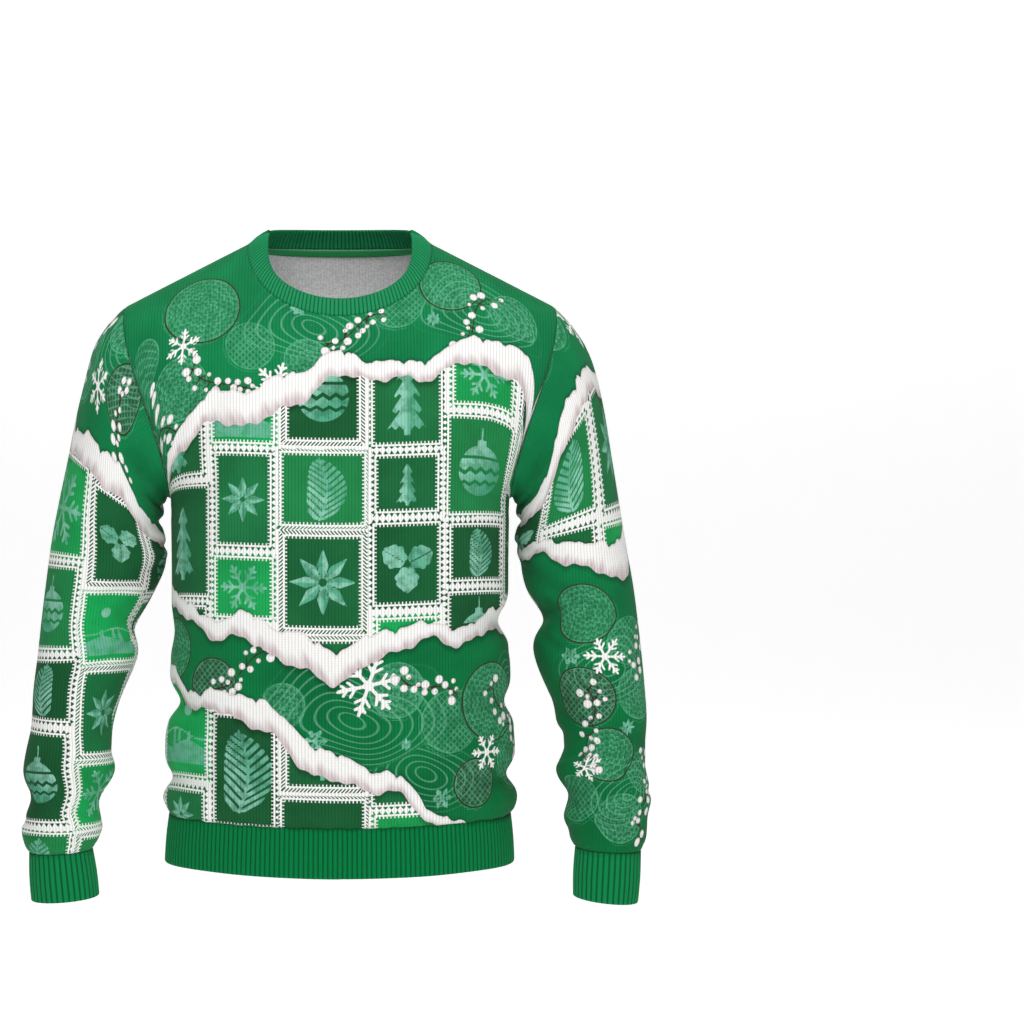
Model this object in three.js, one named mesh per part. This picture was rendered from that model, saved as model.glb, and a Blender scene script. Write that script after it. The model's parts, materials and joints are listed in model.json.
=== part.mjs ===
// Crew-neck pullover sweater of printed knit, worn and hollow, held up at the shoulders.
// Millimetres, +Z up, the wearer's front towards -Y and the wearer's left towards +X.
// The origin lies between the two points where the shoulder seams meet the neck rib.
//
// Each piece of cloth is a wall between an outer and an inner grid of points. The front and back
// panels follow one body form, the sleeves are rings between an outer and an inner outline, and the
// neck, hem and cuffs are rib-knit bands carried along the seams that they are sewn to.
import * as THREE from "three";

// Cloth
const PANEL_WALL = 2.2;
const NECK_WALL = 3.2;
const HEM_WALL = 2.6;
const CUFF_WALL = 2.6;
const SEAM_GAP = 0.3;

// Body form
const HEM_SEAM_Z = -638;
const UNDERARM_Z = -284;
const BODY_ROUNDNESS = 2.3;
const SHOULDER_ROUNDNESS = 2.2;
const BODY_SECTIONS = [
  { z: -638, halfWidth: 190, front: 108, back: 106 },
  { z: -630, halfWidth: 194, front: 113, back: 111 },
  { z: -616, halfWidth: 197, front: 117, back: 115 },
  { z: -592, halfWidth: 195, front: 117, back: 114 },
  { z: -545, halfWidth: 194, front: 118, back: 114 },
  { z: -465, halfWidth: 189, front: 121, back: 115 },
  { z: -375, halfWidth: 187, front: 127, back: 119 },
  { z: -284, halfWidth: 188, front: 129, back: 122 },
  { z: -200, halfWidth: 188, front: 122, back: 126 },
  { z: -120, halfWidth: 188, front: 114, back: 128 },
  { z: -60, halfWidth: 188, front: 108, back: 130 },
  { z: 40, halfWidth: 188, front: 104, back: 132 },
];

// Shoulder line, neckline and armhole
const NECK_HALF_WIDTH = 102;
const SHOULDER_TIP_X = 239;
const SHOULDER_SLOPE = 0.511;
const NECK_RISE = 35;
const NECKLINE_DROP_FRONT = -90;
const NECKLINE_RISE_BACK = 6;
const NECKLINE_FULLNESS = 0.9;
const ARMHOLE_HALF_DEPTH = 72;
const ARMHOLE_BOW = 12;
const SHOULDER_TIP_Z = -SHOULDER_SLOPE * (SHOULDER_TIP_X - NECK_HALF_WIDTH);

// Rib-knit bands
const NECK_BAND = { width: 25, bulge: 1.4, ridge: 0.9, ribsPerChord: { front: 7, back: 5 } };
const NECK_BAND_ANGLE = { front: 53, side: 30, back: 44 };
const HEM_BAND = { height: 52.5, flare: 4.5, ribs: 190, ridge: 0.9 };
// How much higher than HEM_SEAM_Z the hem seam lies, and over how many grid rows that fades
const HEM_LIFT = { middle: 2.5, side: 6.5, rows: 6 };
const CUFF_BAND = { ribs: 36, ridge: 1.1 };
const NECK_TAPE = { start: 0.2, secondRow: 5, thickness: 1.2, clearance: 0.5 };

// Grid of a panel: columns across, and rows up to the underarm and from there to the top edge
const COLUMNS = 24;
const LOWER_ROWS = 16;
const UPPER_ROWS = 12;
const NECK_SHARE = 0.5;

// Large folds that go round a side seam and fade towards the middle of both panels.
// reach is how far in from the side, drop how much lower the inner end lies.
const SIDE_FOLDS = [
  { side: -1, z: -507, depth: -14, width: 17, reach: 110, drop: 34 },
  { side: -1, z: -591, depth: -9, width: 13, reach: 130, drop: -22 },
  { side: -1, z: -430, depth: -4, width: 20, reach: 90, drop: 30 },
  { side: 1, z: -418, depth: -12, width: 17, reach: 100, drop: 30 },
  { side: 1, z: -507, depth: -9, width: 15, reach: 120, drop: -26 },
  { side: 1, z: -587, depth: -10, width: 13, reach: 120, drop: 20 },
];

// Large soft folds inside one panel, each from one point of the front view to another.
const PANEL_FOLDS = {
  front: [
    { x0: -182, z0: -262, x1: -120, z1: -160, depth: -6, width: 15 },
    { x0: 182, z0: -262, x1: 118, z1: -165, depth: -6, width: 15 },
    { x0: -150, z0: -625, x1: 20, z1: -588, depth: -4, width: 14 },
    { x0: 150, z0: -612, x1: 30, z1: -566, depth: -4, width: 15 },
    { x0: -140, z0: -560, x1: 10, z1: -520, depth: 4, width: 22 },
    { x0: 60, z0: -470, x1: 160, z1: -520, depth: 4, width: 20 },
  ],
  back: [
    { x0: -178, z0: -262, x1: -110, z1: -170, depth: -6, width: 15 },
    { x0: 178, z0: -262, x1: 110, z1: -170, depth: -6, width: 15 },
    { x0: -150, z0: -560, x1: 120, z1: -585, depth: -5, width: 16 },
    { x0: -100, z0: -500, x1: 150, z1: -480, depth: -5, width: 18 },
    { x0: -60, z0: -70, x1: 60, z1: -70, depth: -3, width: 14 },
  ],
};

// Sleeve sections, one ring each, from the armhole to the cuff seam. Outer and inner are the two
// ends of the ring in the front view, x measured away from the middle; depth is half its size
// front to back, and forward how far its middle lies in front of the side seam.
const LEFT_SLEEVE = {
  side: 1,
  slant: 0.45,
  sections: [
    { outerX: 239, outerZ: -70, innerX: 188, innerZ: -284, depth: 72, forward: 0 },
    { outerX: 257, outerZ: -90, innerX: 192, innerZ: -281, depth: 72.5, forward: 0 },
    { outerX: 272, outerZ: -112, innerX: 194, innerZ: -284, depth: 73, forward: 0 },
    { outerX: 284, outerZ: -142, innerX: 196, innerZ: -292, depth: 73, forward: 0 },
    { outerX: 294, outerZ: -186, innerX: 196.5, innerZ: -303, depth: 72, forward: -1 },
    { outerX: 303, outerZ: -240, innerX: 196, innerZ: -316, depth: 70, forward: -2 },
    { outerX: 312, outerZ: -296, innerX: 194.5, innerZ: -332, depth: 67, forward: -2 },
    { outerX: 320, outerZ: -345, innerX: 201, innerZ: -355, depth: 64, forward: -2 },
    { outerX: 327, outerZ: -386, innerX: 209, innerZ: -385, depth: 61, forward: -1 },
    { outerX: 331, outerZ: -418, innerX: 224, innerZ: -414, depth: 58, forward: 0 },
    { outerX: 334.5, outerZ: -452, innerX: 215, innerZ: -448, depth: 57, forward: 3 },
    { outerX: 338, outerZ: -495, innerX: 230, innerZ: -493, depth: 55, forward: 7 },
    { outerX: 339.5, outerZ: -526, innerX: 239, innerZ: -527, depth: 52, forward: 11 },
    { outerX: 337.5, outerZ: -558, innerX: 248, innerZ: -556, depth: 49, forward: 15 },
    { outerX: 338, outerZ: -585, innerX: 239, innerZ: -582, depth: 49, forward: 18 },
    { outerX: 344, outerZ: -610, innerX: 251, innerZ: -610, depth: 46, forward: 21 },
    { outerX: 339, outerZ: -633, innerX: 247, innerZ: -634, depth: 45, forward: 23 },
    { outerX: 337, outerZ: -656, innerX: 254, innerZ: -657, depth: 42, forward: 25 },
    { outerX: 331, outerZ: -670, innerX: 259, innerZ: -667, depth: 37, forward: 26 },
  ],
  cuffEnd: { outerX: 327, outerZ: -726, innerX: 256, innerZ: -719.5, depth: 37, forward: 31 },
};
const RIGHT_SLEEVE = {
  side: -1,
  slant: 0.45,
  sections: [
    { outerX: 239, outerZ: -70, innerX: 188, innerZ: -284, depth: 72, forward: 0 },
    { outerX: 257, outerZ: -89, innerX: 192, innerZ: -281, depth: 72.5, forward: 0 },
    { outerX: 273, outerZ: -115, innerX: 194, innerZ: -284, depth: 73, forward: 0 },
    { outerX: 284, outerZ: -154, innerX: 196, innerZ: -292, depth: 73, forward: 0 },
    { outerX: 294, outerZ: -195, innerX: 196.5, innerZ: -303, depth: 72, forward: -1 },
    { outerX: 303, outerZ: -240, innerX: 196, innerZ: -317, depth: 70, forward: -2 },
    { outerX: 313, outerZ: -288, innerX: 193.5, innerZ: -333, depth: 68, forward: -2 },
    { outerX: 321, outerZ: -332, innerX: 193, innerZ: -351, depth: 66, forward: -2 },
    { outerX: 327, outerZ: -378, innerX: 206, innerZ: -383, depth: 62, forward: -1 },
    { outerX: 332, outerZ: -420, innerX: 226, innerZ: -423, depth: 58, forward: 0 },
    { outerX: 336, outerZ: -460, innerX: 225, innerZ: -455, depth: 56, forward: 3 },
    { outerX: 340, outerZ: -497, innerX: 241, innerZ: -496, depth: 53, forward: 7 },
    { outerX: 342, outerZ: -540, innerX: 252, innerZ: -545, depth: 50, forward: 12 },
    { outerX: 350, outerZ: -585, innerX: 249, innerZ: -582, depth: 49, forward: 17 },
    { outerX: 341, outerZ: -616, innerX: 266, innerZ: -615, depth: 44, forward: 20 },
    { outerX: 351, outerZ: -642, innerX: 261.5, innerZ: -641, depth: 45, forward: 22 },
    { outerX: 348, outerZ: -662, innerX: 267, innerZ: -659, depth: 42, forward: 24 },
    { outerX: 342, outerZ: -672, innerX: 272.5, innerZ: -669, depth: 37, forward: 25 },
  ],
  cuffEnd: { outerX: 339, outerZ: -724, innerX: 264.5, innerZ: -719, depth: 37, forward: 30 },
};

// Creases across a sleeve: at is the section where it starts, round the angle from the outer edge
// over the front in degrees, run how many sections it climbs for each 90 degrees.
const SLEEVE_CREASES = [
  { at: 9.3, round: 130, run: -1.1, depth: -4.5, width: 0.55, reach: 95 },
  { at: 11.2, round: 150, run: 0.9, depth: -4, width: 0.5, reach: 90 },
  { at: 13.4, round: 110, run: -0.8, depth: -4, width: 0.5, reach: 100 },
  { at: 15.2, round: 60, run: 0.7, depth: -3.5, width: 0.4, reach: 110 },
  { at: 10.2, round: 250, run: 0.9, depth: -4, width: 0.55, reach: 90 },
  { at: 13.1, round: 280, run: -0.9, depth: -4, width: 0.5, reach: 90 },
  { at: 5.4, round: 150, run: -1.4, depth: -4, width: 0.7, reach: 70 },
];

const DEG = Math.PI / 180;
const clamp01 = (t) => Math.min(1, Math.max(0, t));
const lerp = (a, b, t) => a + (b - a) * t;
const smoothStep = (t) => clamp01(t) ** 2 * (3 - 2 * clamp01(t));

// A column of a table as a smooth curve: a cubic through the rows, with the slope at a row taken
// from the rows on both sides of it.
function curveOf(positions, values) {
  const last = positions.length - 1;
  const slopes = values.map((_, i) => {
    const a = Math.max(0, i - 1);
    const b = Math.min(last, i + 1);
    return (values[b] - values[a]) / (positions[b] - positions[a]);
  });
  return (at) => {
    const p = Math.min(Math.max(at, positions[0]), positions[last]);
    let i = 0;
    while (i < last - 1 && p > positions[i + 1]) i++;
    const step = positions[i + 1] - positions[i];
    const t = (p - positions[i]) / step;
    const startPart = (1 + 2 * t) * (1 - t) ** 2 * values[i] + t * (1 - t) ** 2 * step * slopes[i];
    const endPart = t * t * (3 - 2 * t) * values[i + 1] - t * t * (1 - t) * step * slopes[i + 1];
    return startPart + endPart;
  };
}

const bodyColumn = (key) => curveOf(BODY_SECTIONS.map((r) => r.z), BODY_SECTIONS.map((r) => r[key]));
const lowerHalfWidth = bodyColumn("halfWidth");
const bodyDepthAt = { front: bodyColumn("front"), back: bodyColumn("back") };

// Height of the shoulder line, and of the neck stump that the body form has inside the neckline.
function shoulderHeight(x) {
  const across = Math.abs(x);
  if (across >= NECK_HALF_WIDTH) return -SHOULDER_SLOPE * (across - NECK_HALF_WIDTH);
  return NECK_RISE * (1 - (across / NECK_HALF_WIDTH) ** 2);
}

// How much of its full depth the body still has at a height below the shoulder line, from 1 to 0.
function shoulderShare(x, z) {
  const t = clamp01((z - UNDERARM_Z) / (shoulderHeight(x) - UNDERARM_Z));
  return (1 - t ** SHOULDER_ROUNDNESS) ** (1 / SHOULDER_ROUNDNESS);
}

// The armhole edge, for level -1 at the underarm to 1 at the shoulder tip.
function armholeX(level) {
  const middle = (lowerHalfWidth(UNDERARM_Z) + SHOULDER_TIP_X) / 2;
  const half = (SHOULDER_TIP_X - lowerHalfWidth(UNDERARM_Z)) / 2;
  return middle + half * level + ARMHOLE_BOW * level * (1 - level * level);
}

// Half-width of the body form. Above the underarm it is the one that makes the surface pass
// through the armhole edge, whose front view and depth are given.
function formHalfWidth(side, z) {
  if (z <= UNDERARM_Z) return lowerHalfWidth(z);
  const level = Math.min((2 * (z - UNDERARM_Z)) / (SHOULDER_TIP_Z - UNDERARM_Z) - 1, 0.96);
  const edgeX = armholeX(level);
  const edgeZ = lerp(UNDERARM_Z, SHOULDER_TIP_Z, (level + 1) / 2);
  const edgeDepth = ARMHOLE_HALF_DEPTH * Math.sqrt(1 - level * level);
  const full = bodyDepthAt[side](edgeZ) * shoulderShare(edgeX, edgeZ);
  const share = Math.min(edgeDepth / full, 0.97);
  return edgeX / (1 - share ** BODY_ROUNDNESS) ** (1 / BODY_ROUNDNESS);
}

// Distance of the body form from the plane of the side seams.
function formDepth(side, x, z) {
  const across = clamp01(Math.abs(x) / formHalfWidth(side, z));
  const round = (1 - across ** BODY_ROUNDNESS) ** (1 / BODY_ROUNDNESS);
  return bodyDepthAt[side](z) * round * shoulderShare(x, z);
}

// Front view of a panel's top edge: the neckline between two shoulder seams.
function topEdge(side, u) {
  const across = Math.abs(u);
  if (across >= NECK_SHARE) {
    const x = lerp(NECK_HALF_WIDTH, SHOULDER_TIP_X, (across - NECK_SHARE) / (1 - NECK_SHARE));
    return { x: Math.sign(u) * x, z: shoulderHeight(x) };
  }
  const angle = (u / NECK_SHARE) * 90 * DEG;
  const dip = side === "front" ? NECKLINE_DROP_FRONT : NECKLINE_RISE_BACK;
  return {
    x: NECK_HALF_WIDTH * Math.sin(angle),
    z: dip * Math.cos(angle) ** NECKLINE_FULLNESS,
  };
}

// How far the hem seam is lifted, for share from 0 in the middle of a panel to 1 at its side.
function hemLift(share) {
  return lerp(HEM_LIFT.middle, HEM_LIFT.side, smoothStep(share));
}

// A point of a panel before its folds, for u from -1 to 1 across and row from 0 at the hem seam.
function panelForm(side, u, row) {
  const facing = side === "front" ? -1 : 1;
  const lowerX = Math.sin((u * Math.PI) / 2);
  if (row <= LOWER_ROWS) {
    const z = lerp(HEM_SEAM_Z, UNDERARM_Z, row / LOWER_ROWS);
    const x = lowerHalfWidth(z) * lowerX;
    const lift = hemLift(Math.abs(lowerX)) * clamp01(1 - row / HEM_LIFT.rows) ** 2;
    return new THREE.Vector3(x, facing * formDepth(side, x, z), z + lift);
  }
  const rise = (1 - Math.cos((Math.PI * (row - LOWER_ROWS)) / UPPER_ROWS)) / 2;
  const top = topEdge(side, u);
  const level = 2 * rise - 1;
  const bow = Math.sign(u) * Math.abs(u) ** 3 * ARMHOLE_BOW * level * (1 - level * level);
  const x = lerp(lowerHalfWidth(UNDERARM_Z) * lowerX, top.x, rise) + bow;
  const z = lerp(UNDERARM_Z, top.z, rise);
  if (Math.abs(u) === 1) {
    return new THREE.Vector3(x, facing * ARMHOLE_HALF_DEPTH * Math.sqrt(1 - level * level), z);
  }
  return new THREE.Vector3(x, facing * formDepth(side, x, z), z);
}

// How far a panel stands out of the form at a point, from the folds that cross it.
function foldOffset(side, x, z) {
  let offset = 0;
  for (const fold of SIDE_FOLDS) {
    const inward = (lowerHalfWidth(z) - fold.side * x) / fold.reach;
    const line = fold.z - fold.drop * clamp01(inward);
    const fade = 1 - smoothStep(inward);
    offset += fold.depth * fade * Math.exp(-(((z - line) / fold.width) ** 2));
  }
  for (const fold of PANEL_FOLDS[side]) {
    const run = { x: fold.x1 - fold.x0, z: fold.z1 - fold.z0 };
    const length = Math.hypot(run.x, run.z);
    const along = ((x - fold.x0) * run.x + (z - fold.z0) * run.z) / length ** 2;
    const off = ((x - fold.x0) * run.z - (z - fold.z0) * run.x) / length;
    const fade = smoothStep((along + 0.15) / 0.45) * smoothStep((1.15 - along) / 0.45);
    offset += fold.depth * fade * Math.exp(-((off / fold.width) ** 2));
  }
  return offset;
}

// Share of the folds that is left near a panel's hem, armhole and top edge, which stay plain.
function foldShare(u, row) {
  const hem = smoothStep(row / 1.2);
  const top = smoothStep((LOWER_ROWS + UPPER_ROWS - row) / 3);
  const armhole = row > LOWER_ROWS - 1 ? smoothStep((1 - Math.abs(u)) / 0.25) : 1;
  const easing = smoothStep(row - LOWER_ROWS + 1);
  return hem * top * lerp(1, armhole, easing);
}

// Outward normal of a surface given as a function of two parameters.
function normalOf(surface, a, b, low, high, outward) {
  const step = 0.02;
  const a0 = surface(Math.max(a - step * (high.a - low.a), low.a), b);
  const a1 = surface(Math.min(a + step * (high.a - low.a), high.a), b);
  const b0 = surface(a, Math.max(b - step * 10, low.b));
  const b1 = surface(a, Math.min(b + step * 10, high.b));
  return a1.sub(a0).cross(b1.sub(b0)).multiplyScalar(outward).normalize();
}

// Normals of the form and of the folded panel. Along the hem they lie flat, and along the side and
// shoulder seams, which are in the plane Y = 0, they stay in that plane, so that edges meet.
function flattenNormal(normal, u, row) {
  const last = LOWER_ROWS + UPPER_ROWS;
  const onSideSeam = Math.abs(u) === 1 && row <= LOWER_ROWS;
  const onShoulderSeam = row === last && Math.abs(u) >= NECK_SHARE;
  if (onSideSeam) normal.y = 0;
  if (onShoulderSeam) normal.set(SHOULDER_SLOPE * Math.sign(u), 0, 1);
  if (row === 0) normal.z = 0;
  return normal.normalize();
}
const PANEL_DOMAIN = { low: { a: -1, b: 0 }, high: { a: 1, b: LOWER_ROWS + UPPER_ROWS } };
const facingOf = (side) => (side === "front" ? 1 : -1);

function formNormal(side, u, row) {
  const form = (a, b) => panelForm(side, a, b);
  const normal = normalOf(form, u, row, PANEL_DOMAIN.low, PANEL_DOMAIN.high, facingOf(side));
  return flattenNormal(normal, u, row);
}

function panelPoint(side, u, row) {
  const point = panelForm(side, u, row);
  const offset = foldOffset(side, point.x, point.z) * foldShare(u, row);
  return point.addScaledVector(formNormal(side, u, row), offset);
}

function panelNormal(side, u, row) {
  const surface = (a, b) => panelPoint(side, a, b);
  const normal = normalOf(surface, u, row, PANEL_DOMAIN.low, PANEL_DOMAIN.high, facingOf(side));
  return flattenNormal(normal, u, row);
}

// Faces of a wall between two grids of equal size. A closed wall joins its last column to its
// first; an open one gets a rim there. Both ends along the rows get a rim. A rim's cells are split
// from the outer corner of one row to the inner corner of the next, or the other way with turned,
// so that the rims on both sides of a seam are split alike.
function wallFaces(rows, columns, closed, turned = false) {
  const outer = (r, c) => r * columns + (c % columns);
  const inner = (r, c) => rows * columns + outer(r, c);
  const faces = [];
  const quad = (a, b, c, d) => faces.push(a, b, c, a, c, d);
  const spans = closed ? columns : columns - 1;
  for (let r = 0; r < rows - 1; r++) {
    for (let c = 0; c < spans; c++) {
      quad(outer(r, c), outer(r, c + 1), outer(r + 1, c + 1), outer(r + 1, c));
      quad(inner(r, c), inner(r + 1, c), inner(r + 1, c + 1), inner(r, c + 1));
    }
  }
  for (let c = 0; c < spans; c++) {
    quad(inner(0, c), inner(0, c + 1), outer(0, c + 1), outer(0, c));
    quad(outer(rows - 1, c), outer(rows - 1, c + 1), inner(rows - 1, c + 1), inner(rows - 1, c));
  }
  if (!closed) {
    for (let r = 0; r < rows - 1; r++) {
      const c = columns - 1;
      const near = [outer(r, 0), outer(r + 1, 0), inner(r + 1, 0), inner(r, 0)];
      const far = [outer(r, c), inner(r, c), inner(r + 1, c), outer(r + 1, c)];
      if (turned) {
        near.unshift(near.pop());
        far.unshift(far.pop());
      }
      quad(...near);
      quad(...far);
    }
  }
  return faces;
}

// A mesh from points and faces. Faces that run the wrong way round are turned by flip.
function meshOf(name, material, points, faces, flip) {
  const geometry = new THREE.BufferGeometry();
  geometry.setAttribute(
    "position",
    new THREE.Float32BufferAttribute(points.flatMap((p) => [p.x, p.y, p.z]), 3),
  );
  const order = flip ? faces.map((_, i) => faces[i - (i % 3) + (2 - (i % 3))]) : faces;
  geometry.setIndex(order);
  geometry.computeVertexNormals();
  const mesh = new THREE.Mesh(geometry, material);
  mesh.name = name;
  return mesh;
}

const printedKnit = new THREE.MeshStandardMaterial({
  name: "printed_knit",
  color: 0x14803f,
  roughness: 0.9,
  metalness: 0,
});
const ribKnit = new THREE.MeshStandardMaterial({
  name: "rib_knit",
  color: 0x0f7a3c,
  roughness: 0.9,
  metalness: 0,
});
const tapeCloth = new THREE.MeshStandardMaterial({
  name: "neck_tape",
  color: 0x0b6a33,
  roughness: 0.85,
  metalness: 0,
});

// Outer points and normals of a panel, row by row. Half the seam gap is taken off the side and
// shoulder seams, where the other panel gives the other half.
function panelGrid(side) {
  const grid = [];
  const last = LOWER_ROWS + UPPER_ROWS;
  for (let row = 0; row <= last; row++) {
    const line = [];
    for (let c = 0; c <= COLUMNS; c++) {
      const u = (2 * c) / COLUMNS - 1;
      const point = panelPoint(side, u, row);
      const normal = panelNormal(side, u, row);
      const onSideSeam = Math.abs(u) === 1 && row <= LOWER_ROWS;
      const onShoulderSeam = row === last && Math.abs(u) >= NECK_SHARE;
      if (onSideSeam || onShoulderSeam) point.y = (-facingOf(side) * SEAM_GAP) / 2;
      line.push({ point, normal });
    }
    grid.push(line);
  }
  return grid;
}

const grids = { front: panelGrid("front"), back: panelGrid("back") };

function panelMesh(side) {
  const grid = grids[side];
  const cells = grid.flat();
  const inner = cells.map((n) => n.point.clone().addScaledVector(n.normal, -PANEL_WALL));
  const points = [...cells.map((n) => n.point), ...inner];
  const faces = wallFaces(grid.length, grid[0].length, false, side === "back");
  return meshOf(`${side}_panel`, printedKnit, points, faces, side === "back");
}

// The armhole of one side as a closed loop from the shoulder tip over the front to the underarm
// and up the back, with the normals of the panel edges that it is made of.
function armholeLoop(side) {
  const column = side > 0 ? COLUMNS : 0;
  const edge = (panel) => grids[panel].slice(LOWER_ROWS).map((line) => line[column]);
  const front = edge("front").reverse();
  const back = edge("back");
  const loop = [...front, ...back.slice(1, -1)];
  return loop.map(({ point, normal }, i) => {
    const before = loop[(i + loop.length - 1) % loop.length].point;
    const after = loop[(i + 1) % loop.length].point;
    const along = after.clone().sub(before).normalize();
    const outwards = along.cross(normal).multiplyScalar(-side).normalize();
    return { point, normal, outwards };
  });
}

const sleeveKeys = ["outerX", "outerZ", "innerX", "innerZ", "depth", "forward"];

// A sleeve as a function of the section number and of the angle from its outer edge over the
// front. Sections lean, so that a pinch on the inner side runs down across the front.
function sleeveSurface(sleeve) {
  const numbers = sleeve.sections.map((_, i) => i);
  const curves = {};
  for (const key of sleeveKeys) {
    curves[key] = curveOf(numbers, sleeve.sections.map((s) => s[key]));
  }
  const last = numbers.length - 1;
  const base = (at, angle) => {
    const lean = sleeve.slant * Math.sin(angle) * smoothStep((at - 5) / 3) * smoothStep(last - at);
    const level = Math.cos(angle);
    const bow = ARMHOLE_BOW * level * (1 - level * level) * (1 - smoothStep(at / 4));
    const share = (1 + level) / 2;
    const x = lerp(curves.innerX(at + lean), curves.outerX(at + lean), share) + bow;
    const z = lerp(curves.innerZ(at), curves.outerZ(at), share);
    const y = -curves.forward(at) - curves.depth(at) * Math.sin(angle);
    return new THREE.Vector3(sleeve.side * x, y, z);
  };
  const domain = { low: { a: -Infinity, b: 0 }, high: { a: Infinity, b: last } };
  const normalAt = (surface, at, angle) => {
    const step = 0.02;
    const a = surface(at, angle + step).sub(surface(at, angle - step));
    const near = surface(Math.max(at - step, domain.low.b), angle);
    const far = surface(Math.min(at + step, domain.high.b), angle);
    return far.sub(near).cross(a).multiplyScalar(-sleeve.side).normalize();
  };
  const creased = (at, angle) => {
    const plain = smoothStep((at - 1) / 2) * smoothStep((last - at) / 1.5);
    let offset = 0;
    for (const crease of SLEEVE_CREASES) {
      const turn = ((angle / DEG - crease.round + 540) % 360) - 180;
      const line = crease.at + (crease.run * turn) / 90;
      const fade = 1 - smoothStep(Math.abs(turn) / crease.reach);
      offset += crease.depth * fade * Math.exp(-(((at - line) / crease.width) ** 2));
    }
    return base(at, angle).addScaledVector(normalAt(base, at, angle), offset * plain);
  };
  return { point: creased, normal: (at, angle) => normalAt(creased, at, angle), last };
}

// Rings of a sleeve. The first is the armhole loop itself, moved off the panels by the seam gap.
function sleeveMesh(name, sleeve) {
  const surface = sleeveSurface(sleeve);
  const around = 2 * UPPER_ROWS;
  const outer = [];
  const inner = [];
  for (const { point, normal, outwards } of armholeLoop(sleeve.side)) {
    const moved = point.clone().addScaledVector(outwards, SEAM_GAP);
    outer.push(moved);
    inner.push(moved.clone().addScaledVector(normal, -PANEL_WALL));
  }
  const end = ringFrame(sleeve, sleeve.sections[surface.last]);
  for (let at = 1; at <= surface.last; at++) {
    for (let i = 0; i < around; i++) {
      const angle = (2 * Math.PI * i) / around;
      const point = surface.point(at, angle);
      const normal = at === surface.last ? end.radial(angle) : surface.normal(at, angle);
      outer.push(point);
      inner.push(point.clone().addScaledVector(normal, -PANEL_WALL));
    }
  }
  const faces = wallFaces(surface.last + 1, around, true);
  return meshOf(name, printedKnit, [...outer, ...inner], faces, sleeve.side < 0);
}

// The flat ring at the end of a sleeve or cuff: its points, the direction away from its middle,
// and the axis along which the next band continues.
function ringFrame(sleeve, section) {
  const outer = new THREE.Vector3(sleeve.side * section.outerX, -section.forward, section.outerZ);
  const inner = new THREE.Vector3(sleeve.side * section.innerX, -section.forward, section.innerZ);
  const middle = outer.clone().add(inner).divideScalar(2);
  const half = outer.distanceTo(inner) / 2;
  const across = outer.clone().sub(inner).normalize();
  const axis = across.clone().cross(new THREE.Vector3(0, -sleeve.side, 0)).normalize();
  const radial = (angle) => {
    const y = -Math.sin(angle) / section.depth;
    return across.clone().multiplyScalar(Math.cos(angle) / half).setY(y).normalize();
  };
  const point = (angle, out) => {
    const p = middle.clone().addScaledVector(across, half * Math.cos(angle));
    p.y -= section.depth * Math.sin(angle);
    return p.addScaledVector(radial(angle), out);
  };
  return { point, radial, axis };
}

// Faces of a ribbed band: rings of two outer points for each rib, a ridge and a groove, over plain
// inner rings of one point for each rib.
function ribbedFaces(outerRings, innerRings, ribs) {
  const outerCount = 2 * ribs;
  const outer = (r, c) => r * outerCount + (c % outerCount);
  const inner = (r, c) => outerRings * outerCount + r * ribs + (c % ribs);
  const faces = [];
  const quad = (a, b, c, d) => faces.push(a, b, c, a, c, d);
  for (let r = 0; r < outerRings - 1; r++) {
    for (let c = 0; c < outerCount; c++) {
      quad(outer(r, c), outer(r, c + 1), outer(r + 1, c + 1), outer(r + 1, c));
    }
  }
  for (let r = 0; r < innerRings - 1; r++) {
    for (let c = 0; c < ribs; c++) {
      quad(inner(r, c), inner(r + 1, c), inner(r + 1, c + 1), inner(r, c + 1));
    }
  }
  const rim = (o, i, k, turn) => {
    const ends = [outer(o, 2 * k), outer(o, 2 * k + 1), outer(o, 2 * k + 2)];
    const feet = [inner(i, k), inner(i, k + 1)];
    const triangles = [
      [ends[0], feet[0], ends[1]],
      [ends[1], feet[0], feet[1]],
      [ends[1], feet[1], ends[2]],
    ];
    for (const [a, b, c] of triangles) faces.push(...(turn ? [a, c, b] : [a, b, c]));
  };
  for (let k = 0; k < ribs; k++) {
    rim(0, 0, k, false);
    rim(outerRings - 1, innerRings - 1, k, true);
  }
  return faces;
}

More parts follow.
